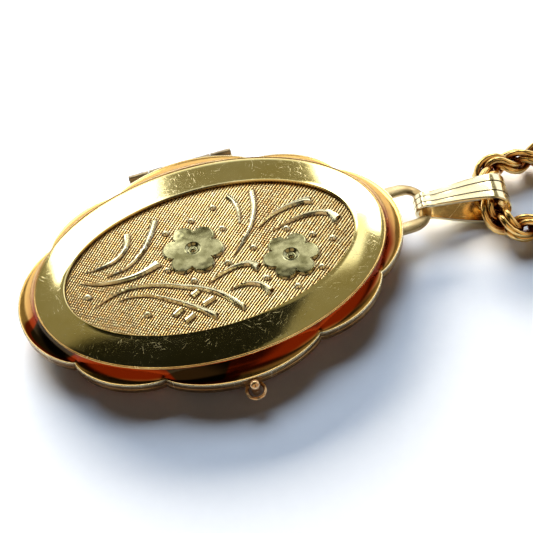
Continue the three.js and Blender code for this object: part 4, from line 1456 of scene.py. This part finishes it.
def patch(tree, azimuth, elevation, sides, heights, soft):
    """1 inside a patch of sky between two azimuths and two elevations, in degrees."""
    parts = [
        ramp(tree, azimuth, sides[0] - soft, sides[0] + soft),
        ramp(tree, azimuth, sides[1] + soft, sides[1] - soft),
        ramp(tree, elevation, heights[0] - soft, heights[0] + soft),
        ramp(tree, elevation, heights[1] + soft, heights[1] - soft),
    ]
    total = parts[0]
    for part in parts[1:]:
        total = math_node(tree, "MULTIPLY", total, part)
    return total


# Each patch: azimuths clockwise from +Y, elevations, softness, and its colour.
SKY = [
    ((-200, 18), (58.5, 91), 1.5, (0.010, 0.010, 0.006)),
    ((60, 200), (60, 91), 3, (0.05, 0.05, 0.04)),
    ((-65, 75), (3, 33), 3, (1.35, 1.35, 1.33)),
    ((-17, 0), (33, 47), 1.2, (5.0, 5.0, 4.8)),
    ((18.5, 36), (33, 50.5), 1.2, (5.0, 5.0, 4.8)),
    ((-14, 30), (47.5, 57), 1.2, (1.4, 1.37, 1.26)),
    ((100, 200), (-5, 55), 8, (0.05, 0.045, 0.04)),
    ((-200, -95), (-5, 55), 8, (0.05, 0.045, 0.04)),
    ((-104, -72), (-8, 60), 3, (0.02, 0.02, 0.015)),
    ((-168, -108), (-8, 72), 6, (0.62, 0.44, 0.27)),
    ((110, 162), (-8, 72), 6, (0.62, 0.44, 0.27)),
    ((66, 98), (8, 48), 6, (0.9, 0.92, 0.97)),
]


def make_sky():
    """What the gold mirrors: soft windows, a middling room between them, dark overhead."""
    world = bpy.data.worlds.new("soft_studio")
    bpy.context.scene.world = world
    world.use_nodes = True
    tree = world.node_tree
    direction = tree.nodes.new("ShaderNodeTexCoord").outputs["Generated"]
    split = tree.nodes.new("ShaderNodeSeparateXYZ")
    link(tree, direction, split.inputs[0])
    x, y, z = split.outputs
    azimuth = math_node(tree, "DEGREES", math_node(tree, "ARCTAN2", x, y))
    elevation = math_node(tree, "DEGREES", math_node(tree, "ARCSINE", z))
    height = ramp(tree, elevation, 0.0, 45.0)
    colour = mix(tree, height, (0.20, 0.21, 0.24), (0.25, 0.22, 0.13))
    for sides, heights, soft, shade in SKY:
        inside = patch(tree, azimuth, elevation, sides, heights, soft)
        colour = mix(tree, inside, colour, shade)
    background = tree.nodes["Background"]
    link(tree, colour, background.inputs["Color"])
    background.inputs["Strength"].default_value = 1.0
    world.cycles_visibility.diffuse = False


LIGHT_DISTANCE = 0.9  # metres


def area_light(name, azimuth, elevation, size, power, colour):
    """A soft light aimed at the locket, placed by direction, that only the table takes."""
    data = bpy.data.lights.new(name, "AREA")
    data.shape = "RECTANGLE"
    data.size, data.size_y = size
    data.energy = power
    data.color = colour
    light = add_object(name, data)
    turn, rise = math.radians(azimuth), math.radians(elevation)
    away = Vector((
        math.sin(turn) * math.cos(rise), math.cos(turn) * math.cos(rise), math.sin(rise),
    ))
    light.location = away * LIGHT_DISTANCE
    light.rotation_euler = away.to_track_quat("Z", "Y").to_euler()
    light.visible_glossy = False


make_table()
make_sky()
area_light("low_window", -4, 17, (0.7, 0.22), 28.0, (1.0, 0.95, 0.86))
area_light("high_window", 4, 42, (0.7, 0.4), 8.5, (0.64, 0.79, 1.0))
area_light("room_fill", 170, 50, (0.8, 0.8), 0.6, (1.0, 0.80, 0.66))

view = bpy.context.scene.view_settings
view.view_transform = "Standard"
view.look = "None"
view.exposure = 0.0
